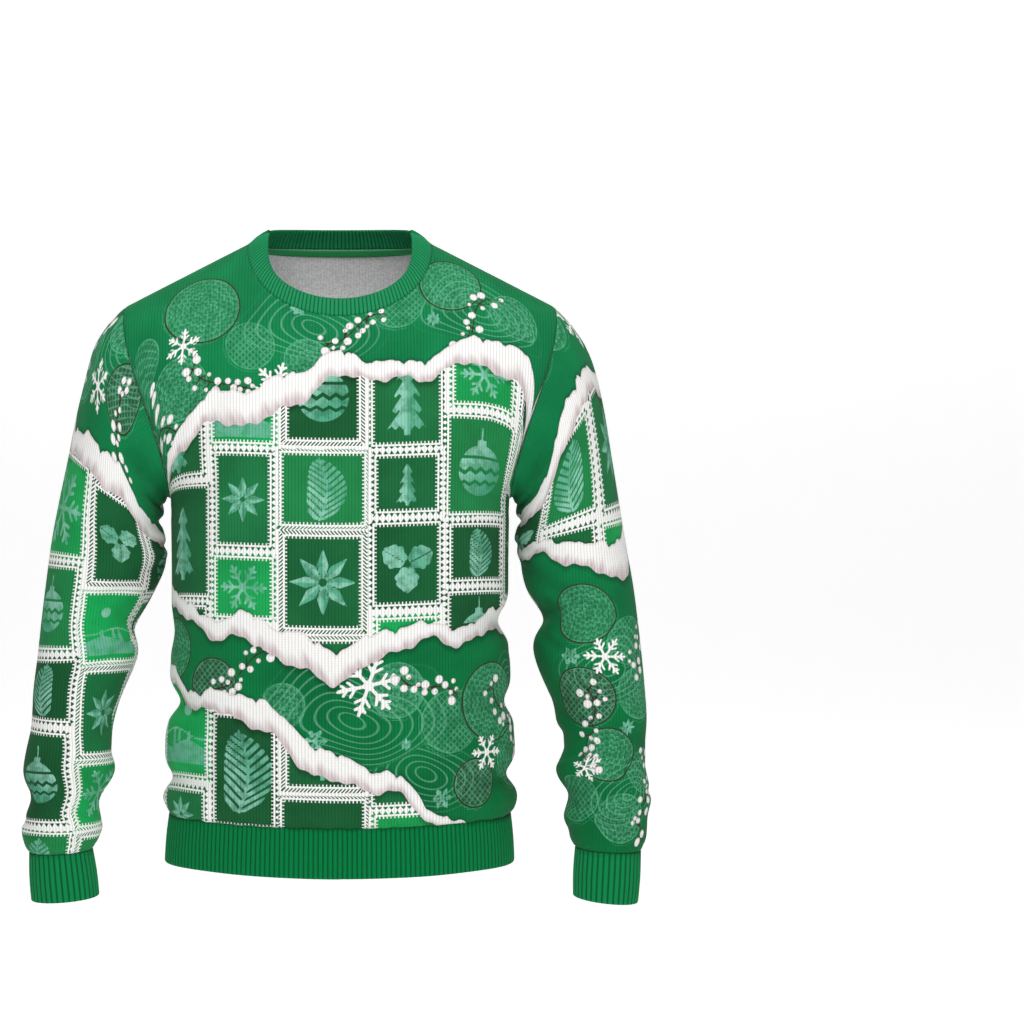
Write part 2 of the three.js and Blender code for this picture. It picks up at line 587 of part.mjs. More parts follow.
// Hem band: from the hem seam straight down, a little wider at the bottom.
function hemMesh() {
  const levels = [
    { z: HEM_SEAM_Z - SEAM_GAP, flare: 0 },
    { z: HEM_SEAM_Z - HEM_BAND.height, flare: HEM_BAND.flare },
  ];
  const at = (angle, flare, out) => {
    const side = Math.cos(angle) >= 0 ? "front" : "back";
    const x = lowerHalfWidth(HEM_SEAM_Z) * Math.sin(angle);
    const facing = side === "front" ? -1 : 1;
    const share = clamp01(Math.abs(Math.sin(angle))) ** BODY_ROUNDNESS;
    const y = facing * bodyDepthAt[side](HEM_SEAM_Z) * (1 - share) ** (1 / BODY_ROUNDNESS);
    const outwards = new THREE.Vector2(x / lowerHalfWidth(HEM_SEAM_Z) ** 2, y / 107 ** 2).normalize();
    return {
      x: x + outwards.x * (flare + out),
      y: y + outwards.y * (flare + out),
      lift: hemLift(Math.abs(Math.sin(angle))),
    };
  };
  const points = [];
  for (const { z, flare } of levels) {
    for (let i = 0; i < 2 * HEM_BAND.ribs; i++) {
      const p = at((Math.PI * i) / HEM_BAND.ribs, flare, i % 2 ? -HEM_BAND.ridge : 0);
      points.push(new THREE.Vector3(p.x, p.y, z + p.lift));
    }
  }
  for (const { z, flare } of levels) {
    for (let i = 0; i < HEM_BAND.ribs; i++) {
      const p = at((2 * Math.PI * i) / HEM_BAND.ribs, flare, -HEM_WALL);
      points.push(new THREE.Vector3(p.x, p.y, z + p.lift));
    }
  }
  return meshOf("hem_rib", ribKnit, points, ribbedFaces(2, 2, HEM_BAND.ribs), true);
}

// Cuff band: from the sleeve's end ring to the open end of the cuff.
function cuffMesh(name, sleeve) {
  const start = ringFrame(sleeve, sleeve.sections.at(-1));
  const end = ringFrame(sleeve, sleeve.cuffEnd);
  const rings = [0, 0.5, 1];
  const at = (angle, share, out) => {
    const top = start.point(angle, out).addScaledVector(start.axis, SEAM_GAP);
    return top.lerp(end.point(angle, out), share);
  };
  const points = [];
  for (const share of rings) {
    for (let i = 0; i < 2 * CUFF_BAND.ribs; i++) {
      points.push(at((Math.PI * i) / CUFF_BAND.ribs, share, i % 2 ? -CUFF_BAND.ridge : 0));
    }
  }
  for (const share of rings) {
    for (let i = 0; i < CUFF_BAND.ribs; i++) {
      points.push(at((2 * Math.PI * i) / CUFF_BAND.ribs, share, -CUFF_WALL));
    }
  }
  const faces = ribbedFaces(rings.length, rings.length, CUFF_BAND.ribs);
  return meshOf(name, ribKnit, points, faces, sleeve.side < 0);
}

// The neckline as a closed run of places, the front from the wearer's right to left and the back
// from left to right. Each panel column between the shoulder seams ends one chord of it.
function necklinePlaces() {
  const chords = COLUMNS * NECK_SHARE;
  const places = [];
  for (const side of ["front", "back"]) {
    const steps = 2 * NECK_BAND.ribsPerChord[side];
    for (let chord = 0; chord < chords; chord++) {
      for (let step = 0; step < steps; step++) places.push({ side, chord, share: step / steps });
    }
  }
  return places;
}

// Where a place lies on its panel: the two columns at the ends of its chord of the neckline.
function necklineColumns({ side, chord }) {
  const firstColumn = (COLUMNS * (1 - NECK_SHARE)) / 2;
  const column = side === "front" ? firstColumn + chord : COLUMNS - firstColumn - chord;
  return [column, side === "front" ? column + 1 : column - 1];
}

// How steeply the neck band stands at a place: it leans most at the sides of the neck.
function neckElevation(side, across) {
  return lerp(NECK_BAND_ANGLE[side], NECK_BAND_ANGLE.side, Math.abs(across) ** 3) * DEG;
}

// Frames of the neck band at the neckline's own points, in the order of necklinePlaces: the point,
// the panel's normal, the way off the panel's edge, the way up the band and the way out of it.
function necklineFrames() {
  const last = LOWER_ROWS + UPPER_ROWS;
  const chords = COLUMNS * NECK_SHARE;
  const corners = [];
  for (const side of ["front", "back"]) {
    for (let chord = 0; chord < chords; chord++) {
      const [column] = necklineColumns({ side, chord });
      const { point, normal } = grids[side][last][column];
      const across = ((2 * chord) / chords - 1) * (side === "front" ? 1 : -1);
      corners.push({ side, across, point, normal });
    }
  }
  return corners.map(({ side, across, point, normal }, i) => {
    const before = corners[(i + corners.length - 1) % corners.length].point;
    const after = corners[(i + 1) % corners.length].point;
    const along = after.clone().sub(point).normalize().add(point.clone().sub(before).normalize());
    along.normalize();
    const offEdge = normal.clone().cross(along).normalize();
    const inwards = new THREE.Vector3(-along.y, along.x, 0).normalize();
    const angle = neckElevation(side, across);
    const up = inwards.multiplyScalar(Math.cos(angle)).setZ(Math.sin(angle));
    const out = along.clone().cross(up).normalize();
    return { point, normal, offEdge, up, out };
  });
}

// A frame between two of the neckline's own, mixed by share.
function mixFrames(a, b, share) {
  const mixed = { point: a.point.clone().lerp(b.point, share) };
  for (const key of ["normal", "offEdge", "up", "out"]) {
    mixed[key] = a[key].clone().lerp(b[key], share).normalize();
  }
  return mixed;
}

// A point of the neck band, share 0 at its seam to 1 at its folded edge, out from its outer face.
function neckPoint(frame, share, out) {
  const point = frame.point.clone().addScaledVector(frame.offEdge, SEAM_GAP);
  if (share === 0) return point.addScaledVector(frame.normal, out);
  const bulge = NECK_BAND.bulge * Math.sin(Math.PI * share);
  return point
    .addScaledVector(frame.up, NECK_BAND.width * share)
    .addScaledVector(frame.out, bulge + out);
}

function neckMesh() {
  const corners = necklineFrames();
  const frames = necklinePlaces().map(({ side, chord, share }) => {
    const start = chord + (side === "back" ? corners.length / 2 : 0);
    return mixFrames(corners[start], corners[(start + 1) % corners.length], share);
  });
  const ribs = frames.length / 2;
  const outerShares = [0, 0.5, 1];
  const innerShares = [0, 1];
  const points = [];
  for (const share of outerShares) {
    frames.forEach((frame, i) => points.push(neckPoint(frame, share, i % 2 ? -NECK_BAND.ridge : 0)));
  }
  for (const share of innerShares) {
    frames.forEach((frame, i) => {
      if (i % 2 === 0) points.push(neckPoint(frame, share, -NECK_WALL));
    });
  }
  const faces = ribbedFaces(outerShares.length, innerShares.length, ribs);
  return meshOf("neck_rib", ribKnit, points, faces, false);
}

// Tape over the back neck seam, made from the back panel's own inner points under the neckline.
// It takes in the panel's top row of cells and part of the next one.
function tapeMesh() {
  const last = LOWER_ROWS + UPPER_ROWS;
  const firstColumn = (COLUMNS * (1 - NECK_SHARE)) / 2 + 2;
  const secondSpan = (column) => {
    return grids.back[last - 1][column].point.distanceTo(grids.back[last - 2][column].point);
  };
  const stops = (column) => [
    [last - 1, last - 2, NECK_TAPE.secondRow / secondSpan(column)],
    [last, last - 1, 1],
    [last, last - 1, NECK_TAPE.start],
  ];
  const innerAt = ([from, to, share], column, depth) => {
    const a = grids.back[from][column];
    const b = grids.back[to][column];
    const normal = a.normal.clone().lerp(b.normal, share);
    const point = a.point.clone().lerp(b.point, share);
    return point.addScaledVector(normal, -(PANEL_WALL + NECK_TAPE.clearance + depth));
  };
  const layer = (depth) => {
    const rows = [[], [], []];
    for (let column = firstColumn; column <= COLUMNS - firstColumn; column++) {
      stops(column).forEach((stop, i) => rows[i].push(innerAt(stop, column, depth)));
    }
    return rows;
  };
  const near = layer(0);
  const far = layer(NECK_TAPE.thickness);
  const points = [...near.flat(), ...far.flat()];
  return meshOf("neck_tape", tapeCloth, points, wallFaces(3, near[0].length, false), true);
}

const sweater = new THREE.Group();
sweater.name = "sweater";
sweater.add(
  panelMesh("front"),
  panelMesh("back"),
  sleeveMesh("left_sleeve", LEFT_SLEEVE),
  sleeveMesh("right_sleeve", RIGHT_SLEEVE),
  neckMesh(),
  tapeMesh(),
  hemMesh(),
  cuffMesh("left_cuff_rib", LEFT_SLEEVE),
  cuffMesh("right_cuff_rib", RIGHT_SLEEVE),
);

export default sweater;
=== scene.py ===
"""Crew-neck pullover sweater of printed knit, worn and hollow, with rib-knit neck, hem and cuffs.

Every piece of cloth is a surface of two parameters, worked out with numpy as whole arrays in
millimetres and put into a closed mesh in metres. The knit's wales and courses follow a UV map that
holds real millimetres of cloth, and the printed design is kept as signed distances on the points,
so that the material draws its edges sharp.
"""
import json
import logging
import math
from dataclasses import dataclass, field
from enum import Enum
from functools import partial
from typing import Callable, Sequence

import bpy
import numpy as np
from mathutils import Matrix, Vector

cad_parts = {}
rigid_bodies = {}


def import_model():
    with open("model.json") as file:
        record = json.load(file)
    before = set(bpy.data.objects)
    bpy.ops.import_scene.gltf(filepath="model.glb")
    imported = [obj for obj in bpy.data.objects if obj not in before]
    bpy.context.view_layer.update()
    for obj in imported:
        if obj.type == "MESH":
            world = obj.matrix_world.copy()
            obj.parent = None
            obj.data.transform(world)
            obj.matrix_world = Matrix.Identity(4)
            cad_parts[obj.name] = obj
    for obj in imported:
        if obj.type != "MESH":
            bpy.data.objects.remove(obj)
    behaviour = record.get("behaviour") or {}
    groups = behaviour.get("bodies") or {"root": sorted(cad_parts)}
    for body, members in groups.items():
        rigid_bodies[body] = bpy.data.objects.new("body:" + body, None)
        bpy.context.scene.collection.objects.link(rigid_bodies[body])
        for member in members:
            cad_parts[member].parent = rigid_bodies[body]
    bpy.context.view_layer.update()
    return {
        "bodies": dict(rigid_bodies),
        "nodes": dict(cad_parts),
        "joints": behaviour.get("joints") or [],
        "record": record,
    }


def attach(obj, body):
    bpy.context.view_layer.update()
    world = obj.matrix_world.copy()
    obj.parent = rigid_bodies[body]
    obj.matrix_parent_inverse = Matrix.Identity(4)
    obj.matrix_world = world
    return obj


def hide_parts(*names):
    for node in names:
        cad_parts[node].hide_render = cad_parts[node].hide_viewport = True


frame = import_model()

LOG = logging.getLogger("sweater")
Array = np.ndarray
Material = bpy.types.Material
Object = bpy.types.Object
Socket = bpy.types.NodeSocket
Tree = bpy.types.NodeTree

METRES = 0.001
FAR = 40.0  # a distance in mm that stands for "no edge near here"
CLOTH_WALL = 2.2  # wall of the printed jersey in mm
SEAM_GAP = 0.3  # mm between two pieces at their seam
SEAM_DIP = 0.9  # how deep the sewing pulls the cloth in, in mm
SEAM_DIP_WIDTH = 2.2
CLOTH_MAP = "cloth_mm"  # the UV map that holds millimetres of cloth
NO_FACES = np.zeros((0, 3), int)


# Numbers and curves


def smooth_step(t: Array) -> Array:
    """A smooth ramp: 0 below 0, 1 above 1, with the cubic 3t² - 2t³ between them."""
    t = np.clip(t, 0.0, 1.0)
    return t * t * (3.0 - 2.0 * t)


def lerp(a: Array, b: Array, t: Array) -> Array:
    """A straight mix of a and b: a at t = 0 and b at t = 1."""
    return a + (b - a) * t


def table(kind: type, *rows: tuple) -> tuple:
    """A table's rows, each made into an object of one kind."""
    return tuple(kind(*row) for row in rows)


def bell(t: Array) -> Array:
    """A bell of height 1 at t = 0: e^(-t²)."""
    return np.exp(-(t**2))


def oval_height(t: Array, roundness: float) -> Array:
    """Height of a rounded oval over a place t from 0 to 1: (1 - t^n)^(1/n)."""
    return (1 - t**roundness) ** (1 / roundness)


def seam_dip(distance: Array) -> Array:
    """How far the sewing pulls the cloth in, at a distance from a seam: a narrow bell."""
    return SEAM_DIP * bell(distance / SEAM_DIP_WIDTH)


def smooth_column(positions: Sequence[float], values: Sequence[float]) -> Callable[[Array], Array]:
    """A column of a table as a smooth curve.

    Each stretch between two rows is the cubic that has the rows' values and, at each row, the
    slope of the straight line between the rows on both sides of it.

    Args:
        positions: where the rows are, rising.
        values: the value in each row.

    Returns:
        A function of an array of positions.
    """
    x, v = np.asarray(positions, float), np.asarray(values, float)
    last = len(x) - 1
    rows = np.arange(last + 1)
    before, after = np.maximum(rows - 1, 0), np.minimum(rows + 1, last)
    slopes = (v[after] - v[before]) / (x[after] - x[before])

    def at(p: Array) -> Array:
        """The curve at p, held level beyond the first and last row."""
        q = np.clip(p, x[0], x[-1])
        i = np.clip(np.searchsorted(x, q, side="right") - 1, 0, last - 1)
        step = x[i + 1] - x[i]
        t = (q - x[i]) / step
        start = (1 + 2 * t) * (1 - t) ** 2 * v[i] + t * (1 - t) ** 2 * step * slopes[i]
        end = t * t * (3 - 2 * t) * v[i + 1] - t * t * (1 - t) * step * slopes[i + 1]
        return start + end

    return at


def unit(vectors: Array) -> Array:
    """Vectors divided by their length, along the last axis."""
    length = np.linalg.norm(vectors, axis=-1, keepdims=True)
    return vectors / np.maximum(length, 1e-9)


def running_length(points: Array, axis: int) -> Array:
    """Length along a grid of points from its first line, as a running sum of the steps."""
    steps = np.linalg.norm(np.diff(points, axis=axis), axis=-1)
    start = np.zeros_like(np.take(steps, [0], axis=axis))
    return np.concatenate([start, np.cumsum(steps, axis=axis)], axis=axis)


def close_ring(grid: Array) -> Array:
    """A grid with its first column again at its end."""
    return np.concatenate([grid, grid[:, :1]], axis=1)


def round_steps(points: Array, axis: int) -> Array:
    """The way from the point before to the point after each, where an axis closes on itself."""
    return np.roll(points, -1, axis=axis) - np.roll(points, 1, axis=axis)


def spread_evenly(line: Array, count: int, values: Sequence[Array]) -> list[Array]:
    """Even places along a closed line, and values of its points read there.

    Args:
        line: points of the line.
        count: how many places.
        values: arrays with a row for each point.

    Returns:
        The length along the line to each place, then each array's values there.
    """
    length = running_length(close_ring(line[None]), 1)[0]
    even = np.linspace(0, length[-1], count + 1)[:-1]
    looped = [np.concatenate([v, v[:1]]) for v in values]
    return [even] + [np.stack([np.interp(even, length, c) for c in v.T], -1) for v in looped]


def wander(x: Array, seed: int, waves: Sequence[tuple[float, float]]) -> Array:
    """An uneven line: a sum of sines, one for each (length, height), with phases from the seed."""
    rng = np.random.default_rng(seed)
    total = np.zeros_like(x)
    for length, height in waves:
        total = total + height * np.sin(2 * math.pi * (x / length + rng.random()))
    return total


# Cloth and form, the same sizes as the solid model's, in millimetres


class Side(Enum):
    """The two halves of the body, with the sign of Y that each one faces."""

    FRONT = -1
    BACK = 1


@dataclass(frozen=True)
class BodySection:
    """A level section of the body: a rounded oval with its own depth in front and behind."""

    z: float
    half_width: float
    front: float
    back: float


@dataclass(frozen=True)
class Fold:
    """A soft trough (depth below 0) or ridge from one point of a panel's front view to another."""

    x0: float
    z0: float
    x1: float
    z1: float
    depth: float
    width: float
    bow: float = 0.0


@dataclass(frozen=True)
class SideFold:
    """A fold round a side seam. It fades over reach, and its inner end lies drop lower."""

    side: int
    z: float
    depth: float
    width: float
    reach: float
    drop: float


@dataclass(frozen=True)
class SleeveSection:
    """A ring of a sleeve: its two ends in the front view, its half-depth and its lean forwards."""

    outer_x: float
    outer_z: float
    inner_x: float
    inner_z: float
    depth: float
    forward: float


@dataclass(frozen=True)
class Crease:
    """A crease across a sleeve.

    at is the section that it starts at, round the angle in degrees from the outer edge over the
    front, run how many sections it climbs in 90 degrees, width in sections, reach in degrees.
    """

    at: float
    round: float
    run: float
    depth: float
    width: float
    reach: float


SIDE_FOLDS = table(
    SideFold,
    (-1, -507, -14, 17, 110, 34), (-1, -591, -9, 13, 130, -22), (-1, -430, -4, 20, 90, 30),
    (1, -418, -12, 17, 100, 30), (1, -507, -9, 15, 120, -26), (1, -587, -10, 13, 120, 20),
)
LARGE_FOLDS = {
    Side.FRONT: table(
        Fold,
        (-182, -262, -120, -160, -6, 15), (182, -262, 118, -165, -6, 15),
        (-150, -625, 20, -588, -4, 14), (150, -612, 30, -566, -4, 15),
        (-140, -560, 10, -520, 4, 22), (60, -470, 160, -520, 4, 20),
    ),
    Side.BACK: table(
        Fold,
        (-178, -262, -110, -170, -6, 15), (178, -262, 110, -170, -6, 15),
        (-150, -560, 120, -585, -5, 16), (-100, -500, 150, -480, -5, 18),
        (-60, -70, 60, -70, -3, 14),
    ),
}
SMALL_FOLDS = {
    Side.FRONT: table(
        Fold,
        (-184, -296, -112, -236, -4.2, 8, 8), (-180, -232, -130, -128, -3.6, 7, -6),
        (184, -296, 116, -240, -4.2, 8, -8), (180, -232, 132, -132, -3.6, 7, 6),
        (-188, -466, -96, -452, -3.1, 7, 6), (-188, -536, -78, -556, -3.4, 6, -7),
        (-186, -566, -106, -570, 2.3, 6, 4), (-176, -612, -70, -600, -2.3, 6, 5),
        (188, -452, 104, -470, -3.1, 7, -6), (188, -542, 86, -524, -3.4, 6, 7),
        (186, -566, 100, -584, 2.3, 6, -5), (176, -606, 84, -618, -2.3, 6, 4),
        (-60, -612, 46, -618, -1.6, 7, 5), (-30, -560, 70, -548, -1.7, 9, -6),
    ),
    Side.BACK: table(
        Fold,
        (-184, -300, -104, -226, -3.1, 7, 8), (184, -300, 108, -230, -3.1, 7, -8),
        (-186, -470, -70, -440, -3.4, 8, 6), (186, -460, 66, -436, -3.4, 8, -6),
        (-150, -536, -10, -528, -2.9, 7, 7), (150, -548, 20, -540, -2.9, 7, -7),
        (-120, -604, 20, -612, -2.3, 7, 5), (140, -612, 40, -606, -2.3, 7, -5),
        (-70, -150, 64, -158, -2.3, 12, 10),
    ),
}


@dataclass
class BodyForm:
    """The worn shape of the front and back panels, as the solid model has it."""

    hem_seam_z: float = -638.0
    underarm_z: float = -284.0
    body_roundness: float = 2.3
    shoulder_roundness: float = 2.2
    neck_half_width: float = 102.0
    shoulder_tip_x: float = 239.0
    shoulder_slope: float = 0.511
    neck_rise: float = 35.0
    neckline_drop_front: float = -90.0
    neckline_rise_back: float = 6.0
    neckline_fullness: float = 0.9
    armhole_half_depth: float = 72.0
    armhole_bow: float = 12.0
    neck_share: float = 0.5
    lower_rows: float = 16.0
    upper_rows: float = 12.0
    hem_lift_middle: float = 2.5
    hem_lift_side: float = 6.5
    hem_lift_rows: float = 6.0
    sections: tuple[BodySection, ...] = table(
        BodySection,
        (-638, 190, 108, 106),
        (-630, 194, 113, 111),
        (-616, 197, 117, 115),
        (-592, 195, 117, 114),
        (-545, 194, 118, 114),
        (-465, 189, 121, 115),
        (-375, 187, 127, 119),
        (-284, 188, 129, 122),
        (-200, 188, 122, 126),
        (-120, 188, 114, 128),
        (-60, 188, 108, 130),
        (40, 188, 104, 132),
    )
    half_width: Callable[[Array], Array] = field(init=False)
    depth: dict = field(init=False)

    def __post_init__(self) -> None:
        """Makes the table's columns into curves."""
        levels = [s.z for s in self.sections]
        self.half_width = smooth_column(levels, [s.half_width for s in self.sections])
        self.depth = {
            Side.FRONT: smooth_column(levels, [s.front for s in self.sections]),
            Side.BACK: smooth_column(levels, [s.back for s in self.sections]),
        }

    @property
    def last_row(self) -> float:
        """The row at the top edge of a panel."""
        return self.lower_rows + self.upper_rows

    @property
    def shoulder_tip_z(self) -> float:
        """Height of the shoulder tip, down the slope from the neck point at 0."""
        return -self.shoulder_slope * (self.shoulder_tip_x - self.neck_half_width)

    def shoulder_height(self, x: Array) -> Array:
        """Height of the shoulder line, with a low round stump inside the neckline."""
        across = np.abs(x)
        slope = -self.shoulder_slope * (across - self.neck_half_width)
        stump = self.neck_rise * (1 - (across / self.neck_half_width) ** 2)
        return np.where(across >= self.neck_half_width, slope, stump)

    def shoulder_share(self, x: Array, z: Array) -> Array:
        """Share of the full depth at a height: a rounded fall from 1 to 0 at the shoulder line."""
        t = np.clip((z - self.underarm_z) / (self.shoulder_height(x) - self.underarm_z), 0, 1)
        return oval_height(t, self.shoulder_roundness)

    def armhole_x(self, level: Array) -> Array:
        """Front view of the armhole edge, for level -1 at the underarm to 1 at the tip."""
        low = float(self.half_width(np.float64(self.underarm_z)))
        middle, half = (low + self.shoulder_tip_x) / 2, (self.shoulder_tip_x - low) / 2
        return middle + half * level + self.armhole_bow * level * (1 - level * level)

    def form_half_width(self, side: Side, z: Array) -> Array:
        """Half-width of the section at a height: above the underarm, the one that makes the
        surface pass through the armhole edge."""
        span = self.shoulder_tip_z - self.underarm_z
        level = np.clip(2 * (z - self.underarm_z) / span - 1, -1, 0.96)
        edge_x = self.armhole_x(level)
        edge_z = self.underarm_z + span * (level + 1) / 2
        edge_depth = self.armhole_half_depth * np.sqrt(1 - level * level)
        full = self.depth[side](edge_z) * self.shoulder_share(edge_x, edge_z)
        share = np.minimum(edge_depth / full, 0.97)
        upper = edge_x / oval_height(share, self.body_roundness)
        return np.where(z <= self.underarm_z, self.half_width(z), upper)

    def form_depth(self, side: Side, x: Array, z: Array) -> Array:
        """Distance from the plane of the side seams: a rounded oval over |x| / half-width."""
        across = np.clip(np.abs(x) / self.form_half_width(side, z), 0, 1)
        oval = oval_height(across, self.body_roundness)
        return self.depth[side](z) * oval * self.shoulder_share(x, z)

    def top_edge(self, side: Side, u: Array) -> tuple[Array, Array]:
        """Front view of a panel's top edge: half an oval neckline between two straight seams."""
        across = np.abs(u)
        share = np.clip((across - self.neck_share) / (1 - self.neck_share), 0, 1)
        seam_x = lerp(self.neck_half_width, self.shoulder_tip_x, share)
        angle = np.clip(u / self.neck_share, -1, 1) * math.pi / 2
        dip = self.neckline_drop_front if side is Side.FRONT else self.neckline_rise_back
        neck_z = dip * np.maximum(np.cos(angle), 0) ** self.neckline_fullness
        on_seam = across >= self.neck_share
        x = np.where(on_seam, np.sign(u) * seam_x, self.neck_half_width * np.sin(angle))
        return x, np.where(on_seam, self.shoulder_height(seam_x), neck_z)

    def hem_lift(self, share: Array) -> Array:
        """How far the hem seam is lifted, for share 0 in the middle of a panel to 1 at its side."""
        return lerp(self.hem_lift_middle, self.hem_lift_side, smooth_step(share))

    def panel(self, side: Side, u: Array, row: Array) -> Array:
        """A point of a panel before its folds.

        Below the underarm, u goes round the section as the sine of a quarter turn. Above it, a
        point goes straight up in the front view from there to the top edge, eased at both ends,
        and its depth is the form's, pulled to the armhole's own oval near the armhole.

        Args:
            side: which panel.
            u: from -1 to 1 across.
            row: 0 at the hem seam, lower_rows at the underarm, upper_rows more at the top.

        Returns:
            Points, with a last axis of three.
        """
        lower_x = np.sin(u * math.pi / 2)
        z_low = lerp(self.hem_seam_z, self.underarm_z, row / self.lower_rows)
        x_low = self.half_width(z_low) * lower_x
        rise = (1 - np.cos(math.pi * np.clip(row - self.lower_rows, 0, None) / self.upper_rows)) / 2
        top_x, top_z = self.top_edge(side, u)
        level = 2 * rise - 1
        bow = np.sign(u) * np.abs(u) ** 3 * self.armhole_bow * level * (1 - level**2)
        base_x = float(self.half_width(np.float64(self.underarm_z))) * lower_x
        x_up = lerp(base_x, top_x, rise) + bow
        z_up = lerp(self.underarm_z, top_z, rise)
        is_low = row <= self.lower_rows
        x, z = np.where(is_low, x_low, x_up), np.where(is_low, z_low, z_up)
        y = self.form_depth(side, x, z)
        edge_z = lerp(self.underarm_z, self.shoulder_tip_z, rise)
        edge_form = self.form_depth(side, self.armhole_x(level), edge_z)
        edge_oval = self.armhole_half_depth * np.sqrt(np.clip(1 - level * level, 0, 1))
        pull = np.where(is_low, 0.0, smooth_step((np.abs(u) - 0.8) / 0.2))
        y = y + (edge_oval - edge_form) * pull
        lift = self.hem_lift(np.abs(lower_x)) * np.clip(1 - row / self.hem_lift_rows, 0, 1) ** 2
        return np.stack([x, side.value * y, z + lift], axis=-1)

    def fold_offset(self, side: Side, x: Array, z: Array) -> Array:
        """How far folds move a panel out: each is a bell across its line that fades at its ends."""
        offset = np.zeros_like(x)
        for fold in SIDE_FOLDS:
            inward = (self.half_width(z) - fold.side * x) / fold.reach
            line = fold.z - fold.drop * np.clip(inward, 0, 1)
            offset += fold.depth * (1 - smooth_step(inward)) * bell((z - line) / fold.width)
        for fold in LARGE_FOLDS[side] + SMALL_FOLDS[side]:
            run_x, run_z = fold.x1 - fold.x0, fold.z1 - fold.z0
            length = math.hypot(run_x, run_z)
            along = ((x - fold.x0) * run_x + (z - fold.z0) * run_z) / length**2
            off = ((x - fold.x0) * run_z - (z - fold.z0) * run_x) / length
            off = off - fold.bow * 4 * np.clip(along, 0, 1) * (1 - np.clip(along, 0, 1))
            fade = smooth_step((along + 0.15) / 0.45) * smooth_step((1.15 - along) / 0.45)
            offset += fold.depth * fade * bell(off / fold.width)
        return offset

    def fold_share(self, u: Array, row: Array) -> Array:
        """Share of the folds that is left: none at the hem, the armhole and the top edge."""
        hem = smooth_step(row / 1.2)
        top = smooth_step((self.last_row - row) / 3)
        armhole = smooth_step((1 - np.abs(u)) / 0.25)
        return hem * top * lerp(1.0, armhole, smooth_step(row - self.lower_rows + 1))


BODY = BodyForm()


# Meshes


@dataclass
class GridShell:
    """A closed wall of cloth: a fine outer grid over an inner grid of every few points.

    The rims join a fine edge to a coarse one as fans, a triangle for each fine step and one more
    to the next coarse point.
    """

    outer: Array
    normals: Array
    wall: float
    step: int
    wrap: bool
    outward: int

    def __post_init__(self) -> None:
        """Counts the grid and picks the inner points, straight in along the normals."""
        self.rows, self.columns = self.outer.shape[:2]
        self.inner_rows = np.arange(0, self.rows, self.step)
        self.inner_columns = np.arange(0, self.columns, self.step)
        pick = np.ix_(self.inner_rows, self.inner_columns)
        self.inner = self.outer[pick] - self.wall * self.normals[pick]
        numbers = np.arange(self.rows * self.columns).reshape(self.rows, self.columns)
        self.twin = np.concatenate([numbers.ravel(), numbers[pick].ravel()])

    def _cells(self, numbers: Array, flip: bool) -> Array:
        """Four-sided faces of a grid of vertex numbers, turned over with flip."""
        if self.wrap:
            numbers = close_ring(numbers)
        a, b = numbers[:-1, :-1], numbers[:-1, 1:]
        c, d = numbers[1:, 1:], numbers[1:, :-1]
        order = (a, d, c, b) if flip else (a, b, c, d)
        return np.stack(order, axis=-1).reshape(-1, 4)

    def _fan(self, fine: Array, coarse: Array, flip: bool) -> Array:
        """Triangles between a fine line and the coarse line beside it."""
        count = len(coarse) - 1
        first = np.arange(count)[:, None] * self.step + np.arange(self.step)[None, :]
        hub = np.repeat(coarse[:-1], self.step)
        fans = np.stack([hub, fine[first.ravel()], fine[first.ravel() + 1]], axis=-1)
        ends = np.stack([coarse[:-1], fine[self.step :: self.step][:count], coarse[1:]], axis=-1)
        faces = np.concatenate([fans, ends])
        return faces[:, ::-1] if flip else faces

    def faces(self) -> tuple[Array, Array, int]:
        """All faces: four-sided ones, three-sided ones, and how many of the first are outside."""
        outer = np.arange(self.rows * self.columns).reshape(self.rows, self.columns)
        shape = (len(self.inner_rows), len(self.inner_columns))
        inner = np.arange(shape[0] * shape[1]).reshape(shape) + outer.size
        turned = self.outward < 0
        outside = self._cells(outer, turned)
        inside = self._cells(inner, not turned)
        rims = []
        for line, flip in ((0, True), (-1, False)):
            fine, coarse = outer[line], inner[line]
            if self.wrap:
                fine, coarse = np.append(fine, fine[0]), np.append(coarse, coarse[0])
            rims.append(self._fan(fine, coarse, flip != turned))
        if not self.wrap:
            rims.append(self._fan(outer[:, 0], inner[:, 0], turned))
            rims.append(self._fan(outer[:, -1], inner[:, -1], not turned))
        return np.concatenate([outside, inside]), np.concatenate(rims), len(outside)

    def points(self) -> Array:
        """Outer points, then inner ones."""
        return np.concatenate([self.outer.reshape(-1, 3), self.inner.reshape(-1, 3)])

    def area(self) -> float:
        """Area of the outer grid in square millimetres."""
        return grid_area(self.outer, self.wrap)

    def make(
        self, name: str, s: Array, t: Array, printed: dict[str, Array], materials: Sequence[Material]
    ) -> Object:
        """Makes the wall's object.

        Args:
            name: name of the object.
            s: millimetres of cloth across, at the outer points.
            t: millimetres of cloth up, at the outer points.
            printed: the print's named values at the outer points, may be empty.
            materials: one material, or the outside's and the inside's.

        Returns:
            The object.
        """
        quads, triangles, outside = self.faces()
        uv = np.stack([s.ravel(), t.ravel()], -1)[self.twin]
        fields = {key: values[self.twin] for key, values in printed.items()}
        return make_object(name, self.points(), quads, triangles, uv, fields, materials, outside)


def grid_area(points: Array, wrap: bool) -> float:
    """Area of a grid of points, from the diagonals of its cells, in square millimetres."""
    if wrap:
        points = close_ring(points)
    first = points[1:, 1:] - points[:-1, :-1]
    second = points[1:, :-1] - points[:-1, 1:]
    return float(np.linalg.norm(np.cross(first, second), axis=-1).sum() / 2)


